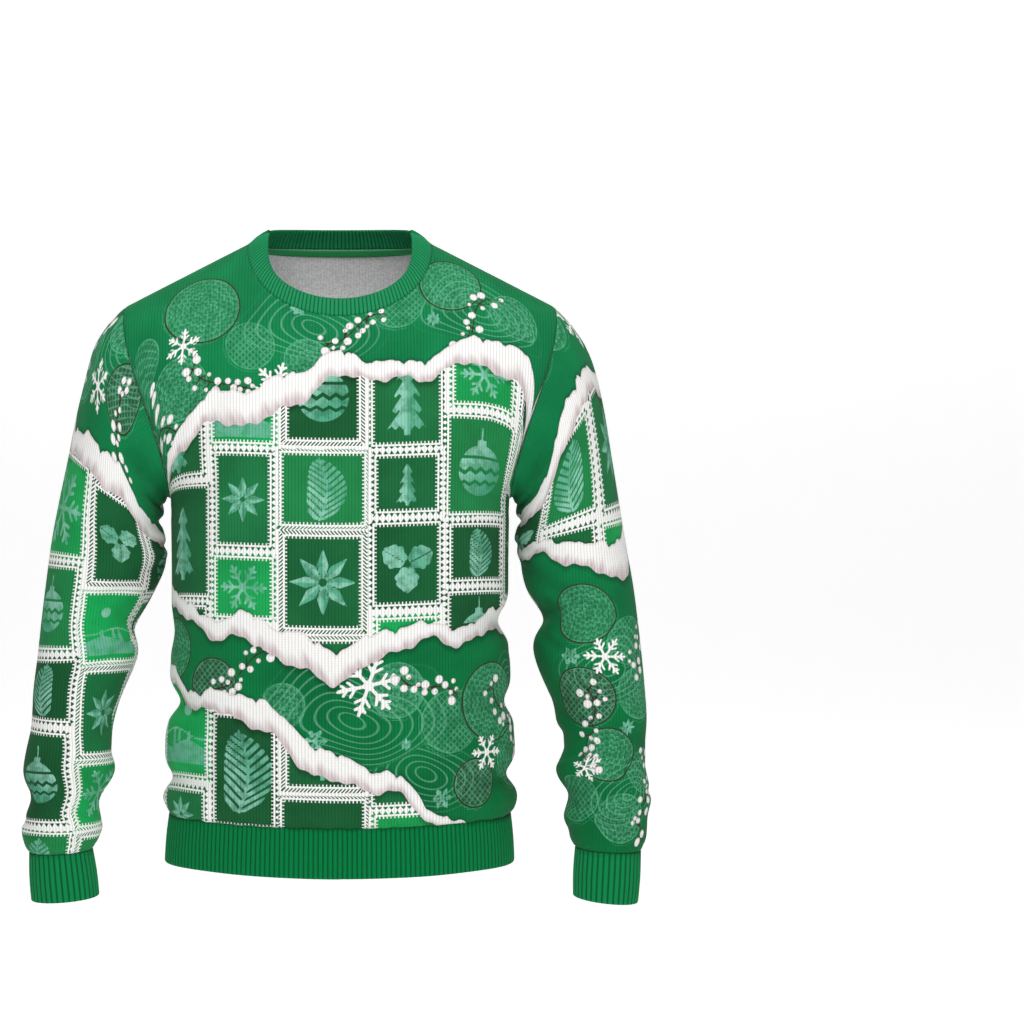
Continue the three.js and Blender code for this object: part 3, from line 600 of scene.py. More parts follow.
def hang_cloth(
    obj: Object, cad_node: str, width_mm: float, length_mm: float, area_mm2: float
) -> None:
    """Args:
        obj: the piece.
        cad_node: the node that it replaces.
        width_mm: width of the rectangle that it is cut from.
        length_mm: length of that rectangle.
        area_mm2: its own area within the rectangle.
    """
    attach(obj, "root")
    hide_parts(cad_node)
    LOG.info("%s: cut %.0f x %.0f mm, %.4f m2", obj.name, width_mm, length_mm, area_mm2 * METRES**2)


def make_object(
    name: str,
    points: Array,
    quads: Array,
    triangles: Array,
    uv: Array,
    fields: dict[str, Array],
    materials: Sequence[Material],
    inside_from: int = 0,
) -> Object:
    """Puts arrays into a new smooth-shaded mesh object.

    Args:
        name: name of the object.
        points: vertices in millimetres.
        quads: four-sided faces.
        triangles: three-sided faces, may be empty.
        uv: millimetres of cloth at each vertex.
        fields: named values at each vertex, one number or a colour of four.
        materials: one material, or the outside's and the inside's.
        inside_from: the first four-sided face that has the last material.

    Returns:
        The object, linked to the scene.
    """
    mesh = bpy.data.meshes.new(name)
    corners = np.concatenate([quads.ravel(), triangles.ravel()]).astype(np.int32)
    sizes = np.concatenate([np.full(len(quads), 4), np.full(len(triangles), 3)])
    starts = np.concatenate([[0], np.cumsum(sizes)[:-1]]).astype(np.int32)
    mesh.vertices.add(len(points))
    mesh.vertices.foreach_set("co", (points * METRES).astype(np.float32).ravel())
    mesh.loops.add(len(corners))
    mesh.loops.foreach_set("vertex_index", corners)
    mesh.polygons.add(len(sizes))
    mesh.polygons.foreach_set("loop_start", starts)
    slots = np.zeros(len(sizes), np.int32)
    slots[inside_from : len(quads)] = len(materials) - 1
    mesh.polygons.foreach_set("material_index", slots)
    mesh.update(calc_edges=True)
    mesh.validate()
    layer = mesh.uv_layers.new(name=CLOTH_MAP)
    layer.data.foreach_set("uv", uv[corners].astype(np.float32).ravel())
    for field_name, values in fields.items():
        kind, key = ("FLOAT_COLOR", "color") if values.ndim == 2 else ("FLOAT", "value")
        attribute = mesh.attributes.new(field_name, kind, "POINT")
        attribute.data.foreach_set(key, values.astype(np.float32).ravel())
    mesh.shade_smooth()
    for material in materials:
        mesh.materials.append(material)
    obj = bpy.data.objects.new(name, mesh)
    bpy.context.scene.collection.objects.link(obj)
    return obj


# Colours and materials


def linear(hex_colour: str) -> tuple[float, float, float, float]:
    """An sRGB hex value as linear red, green and blue with alpha 1."""
    parts = [int(hex_colour[i : i + 2], 16) / 255 for i in (1, 3, 5)]
    light = [p / 12.92 if p <= 0.04045 else ((p + 0.055) / 1.055) ** 2.4 for p in parts]
    return (light[0], light[1], light[2], 1.0)


# Short names of nodes: Blender's name, settings, the inputs that values go to, and the output
NODE_KINDS = {
    "value": ("ShaderNodeAttribute", {}, (), "Fac"),
    "colour": ("ShaderNodeAttribute", {}, (), "Color"),
    "cloth_uv": ("ShaderNodeUVMap", {"uv_map": CLOTH_MAP}, (), "UV"),
    "place": ("ShaderNodeTexCoord", {}, (), "Object"),
    "noise": ("ShaderNodeTexNoise", {}, ("Vector", "Scale", "Detail"), 0),
    "split": ("ShaderNodeSeparateXYZ", {}, (0,), 0),
    "join": ("ShaderNodeCombineXYZ", {}, (0, 1, 2), 0),
    "length": ("ShaderNodeVectorMath", {"operation": "LENGTH"}, (0,), "Value"),
    "scale": ("ShaderNodeVectorMath", {"operation": "SCALE"}, (0, "Scale"), 0),
    "ramp": ("ShaderNodeMapRange", {"interpolation_type": "SMOOTHSTEP"}, (0, 1, 2, 3, 4), 0),
    "mix": ("ShaderNodeMix", {"data_type": "RGBA"}, (0, 6, 7), 2),
    "pick": ("ShaderNodeMix", {"data_type": "FLOAT"}, (0, 2, 3), 0),
}


def add_node(
    tree: Tree, kind: str, *values: float | Sequence[float] | Socket, **named: object
) -> Socket | None:
    """Adds a shader node with its settings and links.

    Args:
        tree: the node tree.
        kind: a short name of NODE_KINDS, Blender's own name of a node, or else a math operation.
        values: a number, a colour or another node's output for each input in turn.
        named: settings of the node, in small letters, and inputs, with a capital and with _ for
            a space.

    Returns:
        The kind's output, or None where the node has none. It leads to the node's other outputs.
    """
    if kind in NODE_KINDS:
        blender_name, settings, keys, output = NODE_KINDS[kind]
    elif kind.startswith("ShaderNode"):
        blender_name, settings, keys, output = kind, {}, range(len(values)), 0
    else:
        blender_name, settings, keys, output = "ShaderNodeMath", {"operation": kind}, range(3), 0
    node = tree.nodes.new(blender_name)
    inputs = dict(zip(keys, values))
    for key, value in {**settings, **named}.items():
        if key[0].isupper():
            inputs[key.replace("_", " ")] = value
        else:
            setattr(node, key, value)
    for key, value in inputs.items():
        if isinstance(value, Socket):
            tree.links.new(value, node.inputs[key])
        else:
            node.inputs[key].default_value = value
    return node.outputs[output] if node.outputs else None


def new_material(name: str) -> tuple[Material, Tree]:
    """A new material and its empty node tree."""
    material = bpy.data.materials.new(name)
    material.use_nodes = True
    material.node_tree.nodes.clear()
    return material, material.node_tree


def finish_cloth(
    tree: Tree, colour: Socket, height: Socket, strength: float, rise_mm: float, **finish: float
) -> None:
    """Ends a cloth's material with its shader.

    Args:
        tree: the material's nodes.
        colour: the cloth's colour.
        height: height of its stitches or threads, from 0 to 1, for the bump.
        strength: strength of the bump.
        rise_mm: what a height of 1 stands for.
        finish: values on the shader's own sockets.
    """
    bump = add_node(
        tree, "ShaderNodeBump", Strength=strength, Distance=rise_mm * METRES, Height=height
    )
    shader = add_node(tree, "ShaderNodeBsdfPrincipled", Base_Color=colour, Normal=bump, **finish)
    add_node(tree, "ShaderNodeOutputMaterial", Surface=shader)


def cloth_place(tree: Tree) -> tuple[Socket, Socket]:
    """Millimetres of cloth across and up at a point, from the UV map."""
    outputs = add_node(tree, "split", add_node(tree, "cloth_uv")).node.outputs
    return outputs[0], outputs[1]


def triangle_wave(tree: Tree, value: Socket, half: float) -> Socket:
    """Straight slopes from 0 to 1 and back: 1 at every odd multiple of half."""
    return add_node(tree, "DIVIDE", add_node(tree, "PINGPONG", value, half), half)


# A knit of polyester fibre is matte, with a faint fuzz that gives a little sheen
KNIT_FINISH = {"IOR": 1.45, "Specular_IOR_Level": 0.1, "Sheen_Weight": 0.03, "Sheen_Roughness": 0.5}


@dataclass(frozen=True)
class JerseyKnit:
    """Fine polyester jersey: wales are columns of V stitches, courses are their rows.

    Each wale stands as a round rib, with painted shade as a dark line in the groove between it and
    the next.
    Real stitches are too fine to show in the render, so these are drawn as coarse as they need to
    show.
    """

    wale_mm: float = 3.5
    course_mm: float = 2.7
    rise_mm: float = 0.55
    # share of painted shade in the grooves and the gaps between stitches
    groove_shade: float = 0.3
    roughness: float = 0.86

    def height(self, tree: Tree) -> tuple[Socket, Socket]:
        """Height of the stitches from 0 to 1, and the painted shade of a point: how deep it is in the
        groove beside a wale, or in a gap between stitches.

        The V of a stitch is the course's phase moved by the distance from the wale's middle.
        """
        node = partial(add_node, tree)
        across, up = cloth_place(tree)
        from_middle = node("PINGPONG", node("DIVIDE", across, self.wale_mm), 0.5)
        groove = node("ramp", from_middle, 0.26, 0.5)
        lean = node("MULTIPLY", from_middle, 1.5)
        yarn = node("PINGPONG", node("ADD", node("DIVIDE", up, self.course_mm), lean), 0.5)
        gap = node("ramp", yarn, 0.0, 0.2, 1.0, 0.0)
        round_rib = node("SUBTRACT", 1.0, node("MULTIPLY", groove, 0.75))
        height = node("SUBTRACT", round_rib, node("MULTIPLY", gap, 0.4))
        # painted shade: darkest deep in the groove, a little less in the gaps between stitches
        dark = node("MAXIMUM", groove, node("MULTIPLY", gap, 0.55))
        return height, dark

    def finish(self, tree: Tree, colour: Socket, shade_strength: float) -> None:
        """Darkens the grooves with painted shade, as strong as the given share, and ends the
        material.
        """
        node = partial(add_node, tree)
        height, dark = self.height(tree)
        # painted shade: the colour darkened where the groove and the gaps lie
        shaded_colour = node("scale", colour, node("SUBTRACT", 1.0, node("MULTIPLY", dark, shade_strength)))
        finish_cloth(
            tree, shaded_colour, height, 0.55, self.rise_mm, Roughness=self.roughness, **KNIT_FINISH
        )


@dataclass(frozen=True)
class PrintedJersey:
    """The jersey's face with its dye-sublimated print: flat, sharp edged and as matte as the knit.

    Ground colours come with the points. White, mint and bark shapes are drawn where a signed
    distance in mm is below zero. Thin lines, frames and rosettes are drawn from smooth places in
    mm, so that they stay sharp between the points.
    """

    white: str = "#F1F0EE"
    mint: str = "#86C4AD"
    light_green: str = "#5DB58A"
    bark: str = "#38241F"
    drift_shadow: str = "#B9A1A5"
    mint_deep: str = "#3E9A77"
    soft_mm: float = 0.3
    tick_pitch_mm: float = 4.0
    tick_depth_mm: float = 2.4
    strip_mm: float = 1.8
    row_mm: float = 4.8
    row_pitch_mm: float = 6.4
    ring_mm: float = 6.0
    first_petals: int = 5
    lattice_mm: float = 3.6
    contour_mm: float = 3.4
    twig_half_mm: float = 0.75

    def _inside(self, tree: Tree, name: str) -> Socket:
        """1 inside a shape and 0 outside, from its signed distance."""
        distance = add_node(tree, "value", attribute_name=name)
        return add_node(tree, "ramp", distance, -self.soft_mm, self.soft_mm, 1.0, 0.0)

    def _frame(self, tree: Tree) -> Socket:
        """White of a patch's frame, from the distance inside the patch's edge.

        A solid strip lies along the edge, with thin ticks that stand on it inside the patch, and
        a row of triangles or of slanting bars is left out between it and the frame's middle.
        """
        node = partial(add_node, tree)
        edge = node("value", attribute_name="edge")
        is_upright = node("GREATER_THAN", node("value", attribute_name="upright"), 0.5)
        run = node("pick", is_upright, *cloth_place(tree))
        tick = self.tick_pitch_mm / 2
        thin = node("ramp", triangle_wave(tree, run, tick), 0.6, 0.78)
        depth, soft = self.tick_depth_mm, self.soft_mm
        near = node("ramp", edge, depth - soft, depth + soft, 1.0, 0.0)
        solid = node("ramp", edge, -0.25, 0.25, 1.0, 0.0)
        white = node("MAXIMUM", solid, node("MULTIPLY", thin, near))
        deep = node("SUBTRACT", node("MULTIPLY", edge, -1.0), self.strip_mm)
        zigzag = triangle_wave(tree, run, self.row_pitch_mm / 2)
        narrow = node("SUBTRACT", zigzag, node("DIVIDE", deep, self.row_mm))
        triangle = node("ramp", narrow, 0.02, 0.2)
        slid = node("MULTIPLY_ADD", deep, 0.9, run)
        bar = node("ramp", triangle_wave(tree, slid, tick), 0.42, 0.58)
        left_out = node("pick", node("value", attribute_name="slanted"), triangle, bar)
        begins = node("ramp", deep, 0.0, 0.4)
        ends = node("ramp", deep, self.row_mm - 0.4, self.row_mm, 1.0, 0.0)
        row = node("MULTIPLY", left_out, node("MULTIPLY", begins, ends))
        return node("SUBTRACT", white, row)

    def _rosette(self, tree: Tree) -> Socket:
        """Strength of a rosette's lines: rings of petals, more in each ring further out.

        A point's place from the rosette's middle gives its ring and its angle. Each petal's
        outer edge bulges by a parabola, and its face fades from that edge inwards. The second
        kind is a lattice of diamonds.
        """
        node = partial(add_node, tree)
        ornament = node("value", attribute_name="ornament").node.outputs
        x, y, radius = node("split", ornament["Vector"]).node.outputs
        reach = node("length", node("join", x, y, 0.0))
        ring = node("DIVIDE", reach, self.ring_mm)
        number = node("FLOOR", ring)
        petals = node("MULTIPLY", node("ADD", number, 1.0), self.first_petals / (2 * math.pi))
        half_turn = node("MULTIPLY", node("MODULO", number, 2.0), 0.5)
        phase = node("MULTIPLY_ADD", node("ARCTAN2", y, x), petals, half_turn)
        arch = node("MULTIPLY", node("PINGPONG", phase, 0.5), 2.0)
        bulge = node("MULTIPLY", node("MULTIPLY", arch, arch), 0.55)
        place_in = node("FRACT", node("ADD", ring, bulge))
        face = node("ramp", place_in, 0.0, 0.9, 0.15, 0.75)
        petal = node("ADD", face, node("ramp", place_in, 0.78, 0.95, 0.0, 0.5))
        first = node("PINGPONG", node("ADD", x, y), self.lattice_mm)
        second = node("PINGPONG", node("SUBTRACT", x, y), self.lattice_mm)
        lattice = node("ramp", node("MINIMUM", first, second), 0.5, 1.3, 0.85, 0.2)
        tone = node("pick", ornament["Alpha"], petal, lattice)
        inwards = node("SUBTRACT", radius, reach)
        inside = node("ramp", inwards, -self.soft_mm, self.soft_mm)
        rim_line = node("ABSOLUTE", node("SUBTRACT", inwards, 0.8))
        rim = node("ramp", rim_line, 0.4, 1.1, 0.9, 0.0)
        return node("MULTIPLY", node("MAXIMUM", tone, rim), inside)

    def _twig(self, tree: Tree) -> Socket:
        """A thin line where the twig's signed distance crosses zero, as strong as its amount."""
        node = partial(add_node, tree)
        away = node("ABSOLUTE", node("value", attribute_name="twig"))
        half, soft = self.twig_half_mm, self.soft_mm
        line = node("ramp", away, half - soft, half + soft, 1.0, 0.0)
        return node("MULTIPLY", line, node("value", attribute_name="twig_on"))

    def make(self, knit: JerseyKnit) -> Material:
        """Builds the material: ground, ornaments, mint, frames, then white, twigs and bark."""
        material, tree = new_material("printed_polyester_jersey")
        node = partial(add_node, tree)
        white, mint, bark = linear(self.white), linear(self.mint), linear(self.bark)
        place = node("place")
        lighter = node("ramp", node("noise", place, 16.0, 5.0), 0.3, 0.7, 0.86, 1.14)
        colour = node("scale", node("colour", attribute_name="ground"), lighter)
        worn = node("ramp", node("noise", place, 110.0, 4.0), 0.36, 0.6, 0.5, 1.0)
        contour = node("PINGPONG", node("value", attribute_name="flow"), self.contour_mm)
        thin = node("ramp", contour, 0.35, 0.95, 0.34, 0.0)
        flow = node("MULTIPLY", thin, node("value", attribute_name="flow_on"))
        colour = node("mix", flow, colour, mint)
        rosette = node("MULTIPLY", node("MULTIPLY", self._rosette(tree), worn), 0.72)
        colour = node("mix", rosette, colour, linear(self.light_green))
        facet = node("mix", node("value", attribute_name="tone"), mint, linear(self.mint_deep))
        colour = node("mix", node("MULTIPLY", self._inside(tree, "mint"), worn), colour, facet)
        colour = node("mix", self._frame(tree), colour, white)
        colour = node("mix", self._twig(tree), colour, bark)
        snow = node("mix", node("value", attribute_name="shade"), white, linear(self.drift_shadow))
        colour = node("mix", self._inside(tree, "white"), colour, snow)
        colour = node("mix", self._inside(tree, "bark"), colour, bark)
        knit.finish(tree, colour, knit.groove_shade)
        return material


@dataclass(frozen=True)
class JerseyReverse:
    """The unprinted back of the jersey: undyed polyester, light grey in the shade of the inside."""

    colour: str = "#F4F4F4"
    shaded: str = "#DADADA"
    # share of painted shade in the grooves of the reverse
    groove_shade: float = 0.1

    def make(self, knit: JerseyKnit) -> Material:
        """Builds the material: pale grey, speckled where the loops shade each other."""
        material, tree = new_material("jersey_reverse")
        loops = add_node(tree, "noise", add_node(tree, "place"), 420.0, 3.0)
        share = add_node(tree, "ramp", loops, 0.35, 0.65)
        colour = add_node(tree, "mix", share, linear(self.shaded), linear(self.colour))
        knit.finish(tree, colour, self.groove_shade)
        return material


@dataclass(frozen=True)
class RibKnit:
    """1x1 rib of dyed polyester: upright ridges of single wales with deep grooves, darkened with
    painted shade.
    """

    name: str
    ridge: str
    # colour of the painted shade deep in a groove
    groove: str = "#013D1F"
    course_mm: float = 2.6
    rise_mm: float = 0.4
    roughness: float = 0.88

    def make(self) -> Material:
        """Builds the material: the ridge's colour, with painted shade darkening it into the groove
        and between the fine courses.
        """
        material, tree = new_material(self.name)
        node = partial(add_node, tree)
        deep = node("value", attribute_name="groove")
        # painted shade: the ridge's green turns to the groove colour deep in the groove
        share = node("ramp", deep, 0.4, 1.0, 0.0, 0.8)
        colour = node("mix", share, linear(self.ridge), linear(self.groove))
        course = node("DIVIDE", cloth_place(tree)[1], self.course_mm)
        yarn = node("PINGPONG", node("ADD", course, node("MULTIPLY", deep, 0.7)), 0.5)
        gap = node("ramp", yarn, 0.0, 0.22, 1.0, 0.0)
        # painted shade in the gaps between courses
        colour = node("scale", colour, node("SUBTRACT", 1.0, node("MULTIPLY", gap, 0.12)))
        height = node("SUBTRACT", 1.0, gap)
        finish_cloth(tree, colour, height, 0.4, self.rise_mm, Roughness=self.roughness, **KNIT_FINISH)
        return material


@dataclass(frozen=True)
class TwillTape:
    """Narrow woven tape, smooth, with a fine slanting rib."""

    colour: str = "#16934F"
    rib_colour: str = "#0B7A3F"
    rib_mm: float = 1.4
    rise_mm: float = 0.2
    roughness: float = 0.75

    def make(self) -> Material:
        """Builds the material: one green with a slanting fine line."""
        material, tree = new_material("woven_neck_tape")
        node = partial(add_node, tree)
        height = triangle_wave(tree, node("ADD", *cloth_place(tree)), self.rib_mm / 2)
        share = node("MULTIPLY", height, 0.25)
        colour = node("mix", share, linear(self.colour), linear(self.rib_colour))
        finish_cloth(tree, colour, height, 0.3, self.rise_mm, Roughness=self.roughness)
        return material


# Printed design: a generic winter patchwork of the maker's own, with shapes as signed distances


def segment(x: Array, y: Array, ax: float, ay: float, bx: float, by: float) -> Array:
    """Distance to a straight stroke from a to b."""
    dx, dy = bx - ax, by - ay
    t = np.clip(((x - ax) * dx + (y - ay) * dy) / (dx * dx + dy * dy), 0, 1)
    return np.hypot(x - ax - t * dx, y - ay - t * dy)


def turned(x: Array, y: Array, turn: float) -> tuple[Array, Array]:
    """A place along and across an axis that is turned by an angle."""
    c, s = math.cos(turn), math.sin(turn)
    return x * c + y * s, -x * s + y * c


def fold_plane(x: Array, y: Array, count: int) -> tuple[Array, Array, Array]:
    """Folds the plane into half of one of count sectors: along it, across it, and the radius."""
    radius, sector = np.hypot(x, y), 2 * math.pi / count
    angle = np.abs((np.arctan2(y, x) + sector / 2) % sector - sector / 2)
    return radius * np.cos(angle), radius * np.sin(angle), radius


def snowflake(x: Array, y: Array, size: float) -> Array:
    """Six arms of one stroke with two pairs of barbs: the plane is folded into one half arm."""
    u, v, radius = fold_plane(x, y, 6)
    stroke = max(size * 0.055, 0.95)
    arm = segment(u, v, 0, 0, size, 0) - stroke
    barb = segment(u, v, size * 0.42, 0, size * 0.64, size * 0.24) - stroke * 0.85
    tip = segment(u, v, size * 0.7, 0, size * 0.86, size * 0.17) - stroke * 0.85
    heart = radius - size * 0.16
    return np.minimum(np.minimum(arm, barb), np.minimum(tip, heart))


def eight_point_star(x: Array, y: Array, size: float) -> Array:
    """A knitter's star: eight lozenges that meet in the middle."""
    u, v, radius = fold_plane(x, y, 8)
    half, wide = size / 2, size * 0.17
    lozenge = (np.abs(u - half) / half + v / wide - 1) * wide * 0.9
    return np.maximum(lozenge, (0.12 * size - radius) * 0.6)


def fir_tree(x: Array, y: Array, size: float) -> Array:
    """Four tiers, each a triangle with a notched lower edge, on a short trunk."""
    shape = np.full_like(x, FAR)
    for tier in range(4):
        top = size * (1.0 - 0.38 * tier)
        foot = top - size * (0.52 + 0.08 * tier)
        notch = size * 0.05 * np.cos(x * 2 * math.pi / (size * 0.22))
        wide = (top - y) * (0.56 + 0.05 * tier)
        side = (np.abs(x) - wide) * 0.85
        shape = np.minimum(shape, np.maximum(side, foot + notch - y))
    trunk = np.maximum(np.abs(x) - size * 0.09, np.abs(y + size * 0.95) - size * 0.16)
    return np.minimum(shape, trunk)


def pine_frond(x: Array, y: Array, size: float) -> Array:
    """A leaning branch: needles as slanting strokes inside a leaf outline, on a middle stem."""
    bend = 0.25 * size * np.sin((y / size + 1) * math.pi / 2)
    across = x - bend + 0.12 * size
    up = y / size
    outline = np.abs(across) - size * 0.62 * np.sqrt(np.clip(1 - ((up + 0.05) / 0.98) ** 2, 0, 1))
    pitch = size * 0.2
    phase = (y - np.abs(across) * 0.75) / pitch
    needle = (np.abs(phase - np.round(phase)) - 0.31) * pitch * 0.8
    stem = np.maximum(np.abs(across) - size * 0.03, np.abs(y) - size)
    needles = np.maximum(np.maximum(outline, needle), np.abs(y) - size * 0.96)
    return np.minimum(stem, needles)


def bauble(x: Array, y: Array, size: float) -> Array:
    """A round tree ball with two zigzag bands left out, a cap and a thread."""
    r = size * 0.72
    low = y + size * 0.15
    ball = np.hypot(x, low) - r
    zig = np.abs((x / (r * 0.5)) % 1 - 0.5) * r * 0.36
    band = np.abs(low - zig + r * 0.1) - r * 0.09
    second = np.abs(low + zig * 0.8 + r * 0.42) - r * 0.07
    third = np.abs(low - r * 0.52) - r * 0.06
    cuts = np.minimum(np.minimum(band, second), third)
    cap = np.maximum(np.abs(x) - r * 0.2, np.abs(low - r * 1.08) - r * 0.12)
    thread = np.maximum(np.abs(x) - size * 0.025, np.abs(y - size * 0.86) - size * 0.22)
    return np.minimum(np.maximum(ball, -cuts), np.minimum(cap, thread))


def holly(x: Array, y: Array, size: float) -> Array:
    """Three spiny leaves from one point, each a pointed oval with scooped edges."""
    shape = np.full_like(x, FAR)
    for turn in (0.45, 2.6, 4.7):
        u, v = turned(x, y, turn)
        t = np.clip(u / size, 0, 1)
        spine = np.abs(np.sin(t * math.pi * 3.5)) * 0.09
        wide = size * (0.36 * np.sin(t * math.pi) ** 0.8 + spine * np.sin(t * math.pi) - 0.02)
        leaf = np.maximum((np.abs(v) - wide) * 0.8, np.maximum(size * 0.1 - u, u - size))
        vein = np.maximum(np.abs(v) - size * 0.025, size * 0.15 - u)
        shape = np.minimum(shape, np.maximum(leaf, -vein))
    return shape


def hills(x: Array, y: Array, size: float) -> Array:
    """Two rolling hills with small firs on them under a round moon."""
    near = y + size * 0.5 - size * 0.14 * np.sin(x / size * 3.1 + 0.6)
    far = np.abs(y + size * 0.16 - size * 0.16 * np.sin(x / size * 2.3 + 2.4)) - size * 0.035
    moon = np.hypot(x - size * 0.28, y - size * 0.62) - size * 0.2
    shape = np.minimum(np.maximum(near, -(y + size * 1.15)), np.minimum(far, moon))
    for place, height in ((-0.42, 0.3), (-0.12, 0.22), (0.4, 0.26)):
        tree = fir_tree(x - size * place, y + size * (0.18 + abs(place) * 0.3), size * height)
        shape = np.minimum(shape, tree)
    return shape


class Motif(Enum):
    """What a patch or a place in the field shows."""

    FIR = 0
    FROND = 1
    STAR = 2
    FLAKE = 3
    BAUBLE = 4
    HOLLY = 5
    HILLS = 6

    def shape(self, x: Array, y: Array, size: float) -> Array:
        """Signed distance of the motif, centred, with its half-height as size."""
        makers = (fir_tree, pine_frond, eight_point_star, snowflake, bauble, holly, hills)
        return makers[self.value](x, y, size)

    def slender(self) -> float:
        """How much taller than wide the motif may be drawn in a narrow patch."""
        return {Motif.FIR: 1.3, Motif.FROND: 1.45, Motif.BAUBLE: 1.2}.get(self, 1.05)

    def tone(self, x: Array, y: Array, size: float) -> Array:
        """How far the motif's mint is deepened, from 0 to 1: facets, a lit side or a slope."""
        if self is Motif.STAR:
            return 0.75 * (np.sin(8 * np.arctan2(y, x)) > 0)
        if self is Motif.FIR:
            return 0.7 * smooth_step(0.5 + x / (size * 0.12))
        if self is Motif.BAUBLE:
            return 0.85 * smooth_step(0.4 + (x - y) / (size * 1.4))
        if self is Motif.HILLS:
            return 0.6 * smooth_step(0.3 - y / size)
        return 0.6 * smooth_step(0.5 + 0.7 * np.sin(3.4 * x / size + 2.2 * y / size))


@dataclass(frozen=True)
class Patch:
    """A patch's ground colour, its motif, and the motif's size as a share of the room for it."""

    ground: str
    motif: Motif
    size: float


PATCHES = table(
    Patch,
    ("#1C6B3C", Motif.FIR, 0.8), ("#17552F", Motif.FROND, 0.92), ("#18A355", Motif.HILLS, 0.8),
    ("#1A6338", Motif.STAR, 0.86), ("#1F7E45", Motif.BAUBLE, 0.8), ("#175A32", Motif.HOLLY, 0.86),
    ("#1F7E45", Motif.FROND, 0.9), ("#1B9A50", Motif.FLAKE, 0.82), ("#1A6338", Motif.FIR, 0.74),
    ("#17552F", Motif.BAUBLE, 0.84), ("#1D7241", Motif.STAR, 0.8),
)


@dataclass(frozen=True)
class Patchwork:
    """Framed patches in columns of uneven width, each column with its own uneven heights."""

    widths: tuple[float, ...] = (88.0, 76.0, 96.0, 82.0)
    heights: tuple[float, ...] = (112.0, 84.0, 126.0, 96.0, 74.0)
    frames: tuple[float, ...] = (9.0, 16.0, 12.0, 20.0)
    start: float = -230.0
    lowest: float = -200.0
    stagger: float = 37.0
    order: int = 0

    def draw(self, s: Array, t: Array, where: Array, out: dict[str, Array]) -> None:
        """Draws every patch that reaches the region where, into the fields in out."""
        period = sum(self.widths)
        column, left = 0, self.start - period
        while left < s.max():
            width = self.widths[column % len(self.widths)]
            tier = column * 2
            bottom = self.lowest + self.stagger * (column * 3 % 5)
            while bottom < t.max():
                height = self.heights[tier % len(self.heights)]
                inside = where & (s >= left) & (s < left + width)
                inside = inside & (t >= bottom) & (t < bottom + height)
                if inside.any():
                    number = column * 4 + tier * 3 + self.order
                    self._patch(s, t, inside, (left, bottom, width, height), number, out)
                bottom += height
                tier += 1
            left += width
            column += 1

    def _patch(
        self, s: Array, t: Array, inside: Array, box: Sequence[float], number: int,
        out: dict[str, Array],
    ) -> None:
        """Draws one patch: its ground, the distance to its frame, and its motif in mint."""
        patch = PATCHES[number % len(PATCHES)]
        frame = self.frames[number % len(self.frames)]
        left, bottom, width, height = box
        x = s[inside] - left - width / 2
        y = t[inside] - bottom - height / 2
        half_w, half_h = (width - frame) / 2, (height - frame) / 2
        to_side, to_end = half_w - np.abs(x), half_h - np.abs(y)
        out["edge"][inside] = np.minimum(to_side, to_end)
        out["upright"][inside] = (to_side < to_end).astype(float)
        out["ground"][inside] = linear(patch.ground)
        size = min(half_w * patch.motif.slender(), half_h) * patch.size
        out["mint"][inside] = patch.motif.shape(x, y, size)
        out["tone"][inside] = patch.motif.tone(x, y, size)
        out["slanted"][inside] = float(number % 3 == 0)


@dataclass(frozen=True)
class Drift:
    """A band like a snow drift across the cloth, with round lumps above and a soft lower edge."""

    level: float
    slope: float
    sweep: float
    sweep_length: float
    thickness: float
    seed: int

    def middle(self, s: Array) -> Array:
        """Middle line: a slope and one long wave with smaller ones on it."""
        wave = self.sweep * np.sin(2 * math.pi * s / self.sweep_length + self.seed)
        return self.level + self.slope * s + wave + wander(s, self.seed, ((150, 9), (67, 4)))

    def edges(self, s: Array) -> tuple[Array, Array]:
        """Upper and lower edge: a varying thickness, scallops above and ripples below."""
        middle = self.middle(s)
        half = self.thickness * (0.62 + 0.38 * np.sin(s / 47.0 + self.seed * 1.7)) / 2 + 5.0
        bent = s + wander(s, self.seed + 3, ((71, 6), (29, 3)))
        large = 5.5 * np.abs(np.sin(bent * math.pi / 31.0))
        small = 2.0 * np.abs(np.sin(bent * math.pi / 13.0))
        top = middle + half + (large + small) - 3.0
        bottom = middle - half + wander(s, self.seed + 5, ((43, 2.6), (17, 1.2)))
        return top, bottom

    def draw(self, s: Array, t: Array, out: dict[str, Array]) -> None:
        """Draws the band's white, its shaded edges, and the shadow that it casts on the print."""
        top, bottom = self.edges(s)
        distance = np.maximum(t - top, bottom - t) * 0.85
        out["white"] = np.minimum(out["white"], distance)
        inside = distance < 1.5
        up = (t - bottom) / np.maximum(top - bottom, 1.0)
        rough = wander(s + 0.3 * t, self.seed + 6, ((37, 0.08), (14, 0.05), (6, 0.03)))
        low = 0.95 * smooth_step(1 - (up + rough) / 0.5)
        high = 0.6 * smooth_step(1 - (top - t) / 3.0)
        grain = 0.78 + wander(s + 0.4 * t, self.seed + 8, ((11, 0.12), (5, 0.08)))
        out["shade"][inside] = (np.maximum(low, high) * grain)[inside]
        out["bark"][inside] = FAR
        away = np.maximum(bottom - t, (t - top) * 2.2)
        shadow = 1 - 0.45 * smooth_step(1 - away / 9.0)
        out["ground"][:, :3] *= shadow[:, None]
        for name in ("twig_on", "flow_on"):
            out[name][distance < 1] = 0


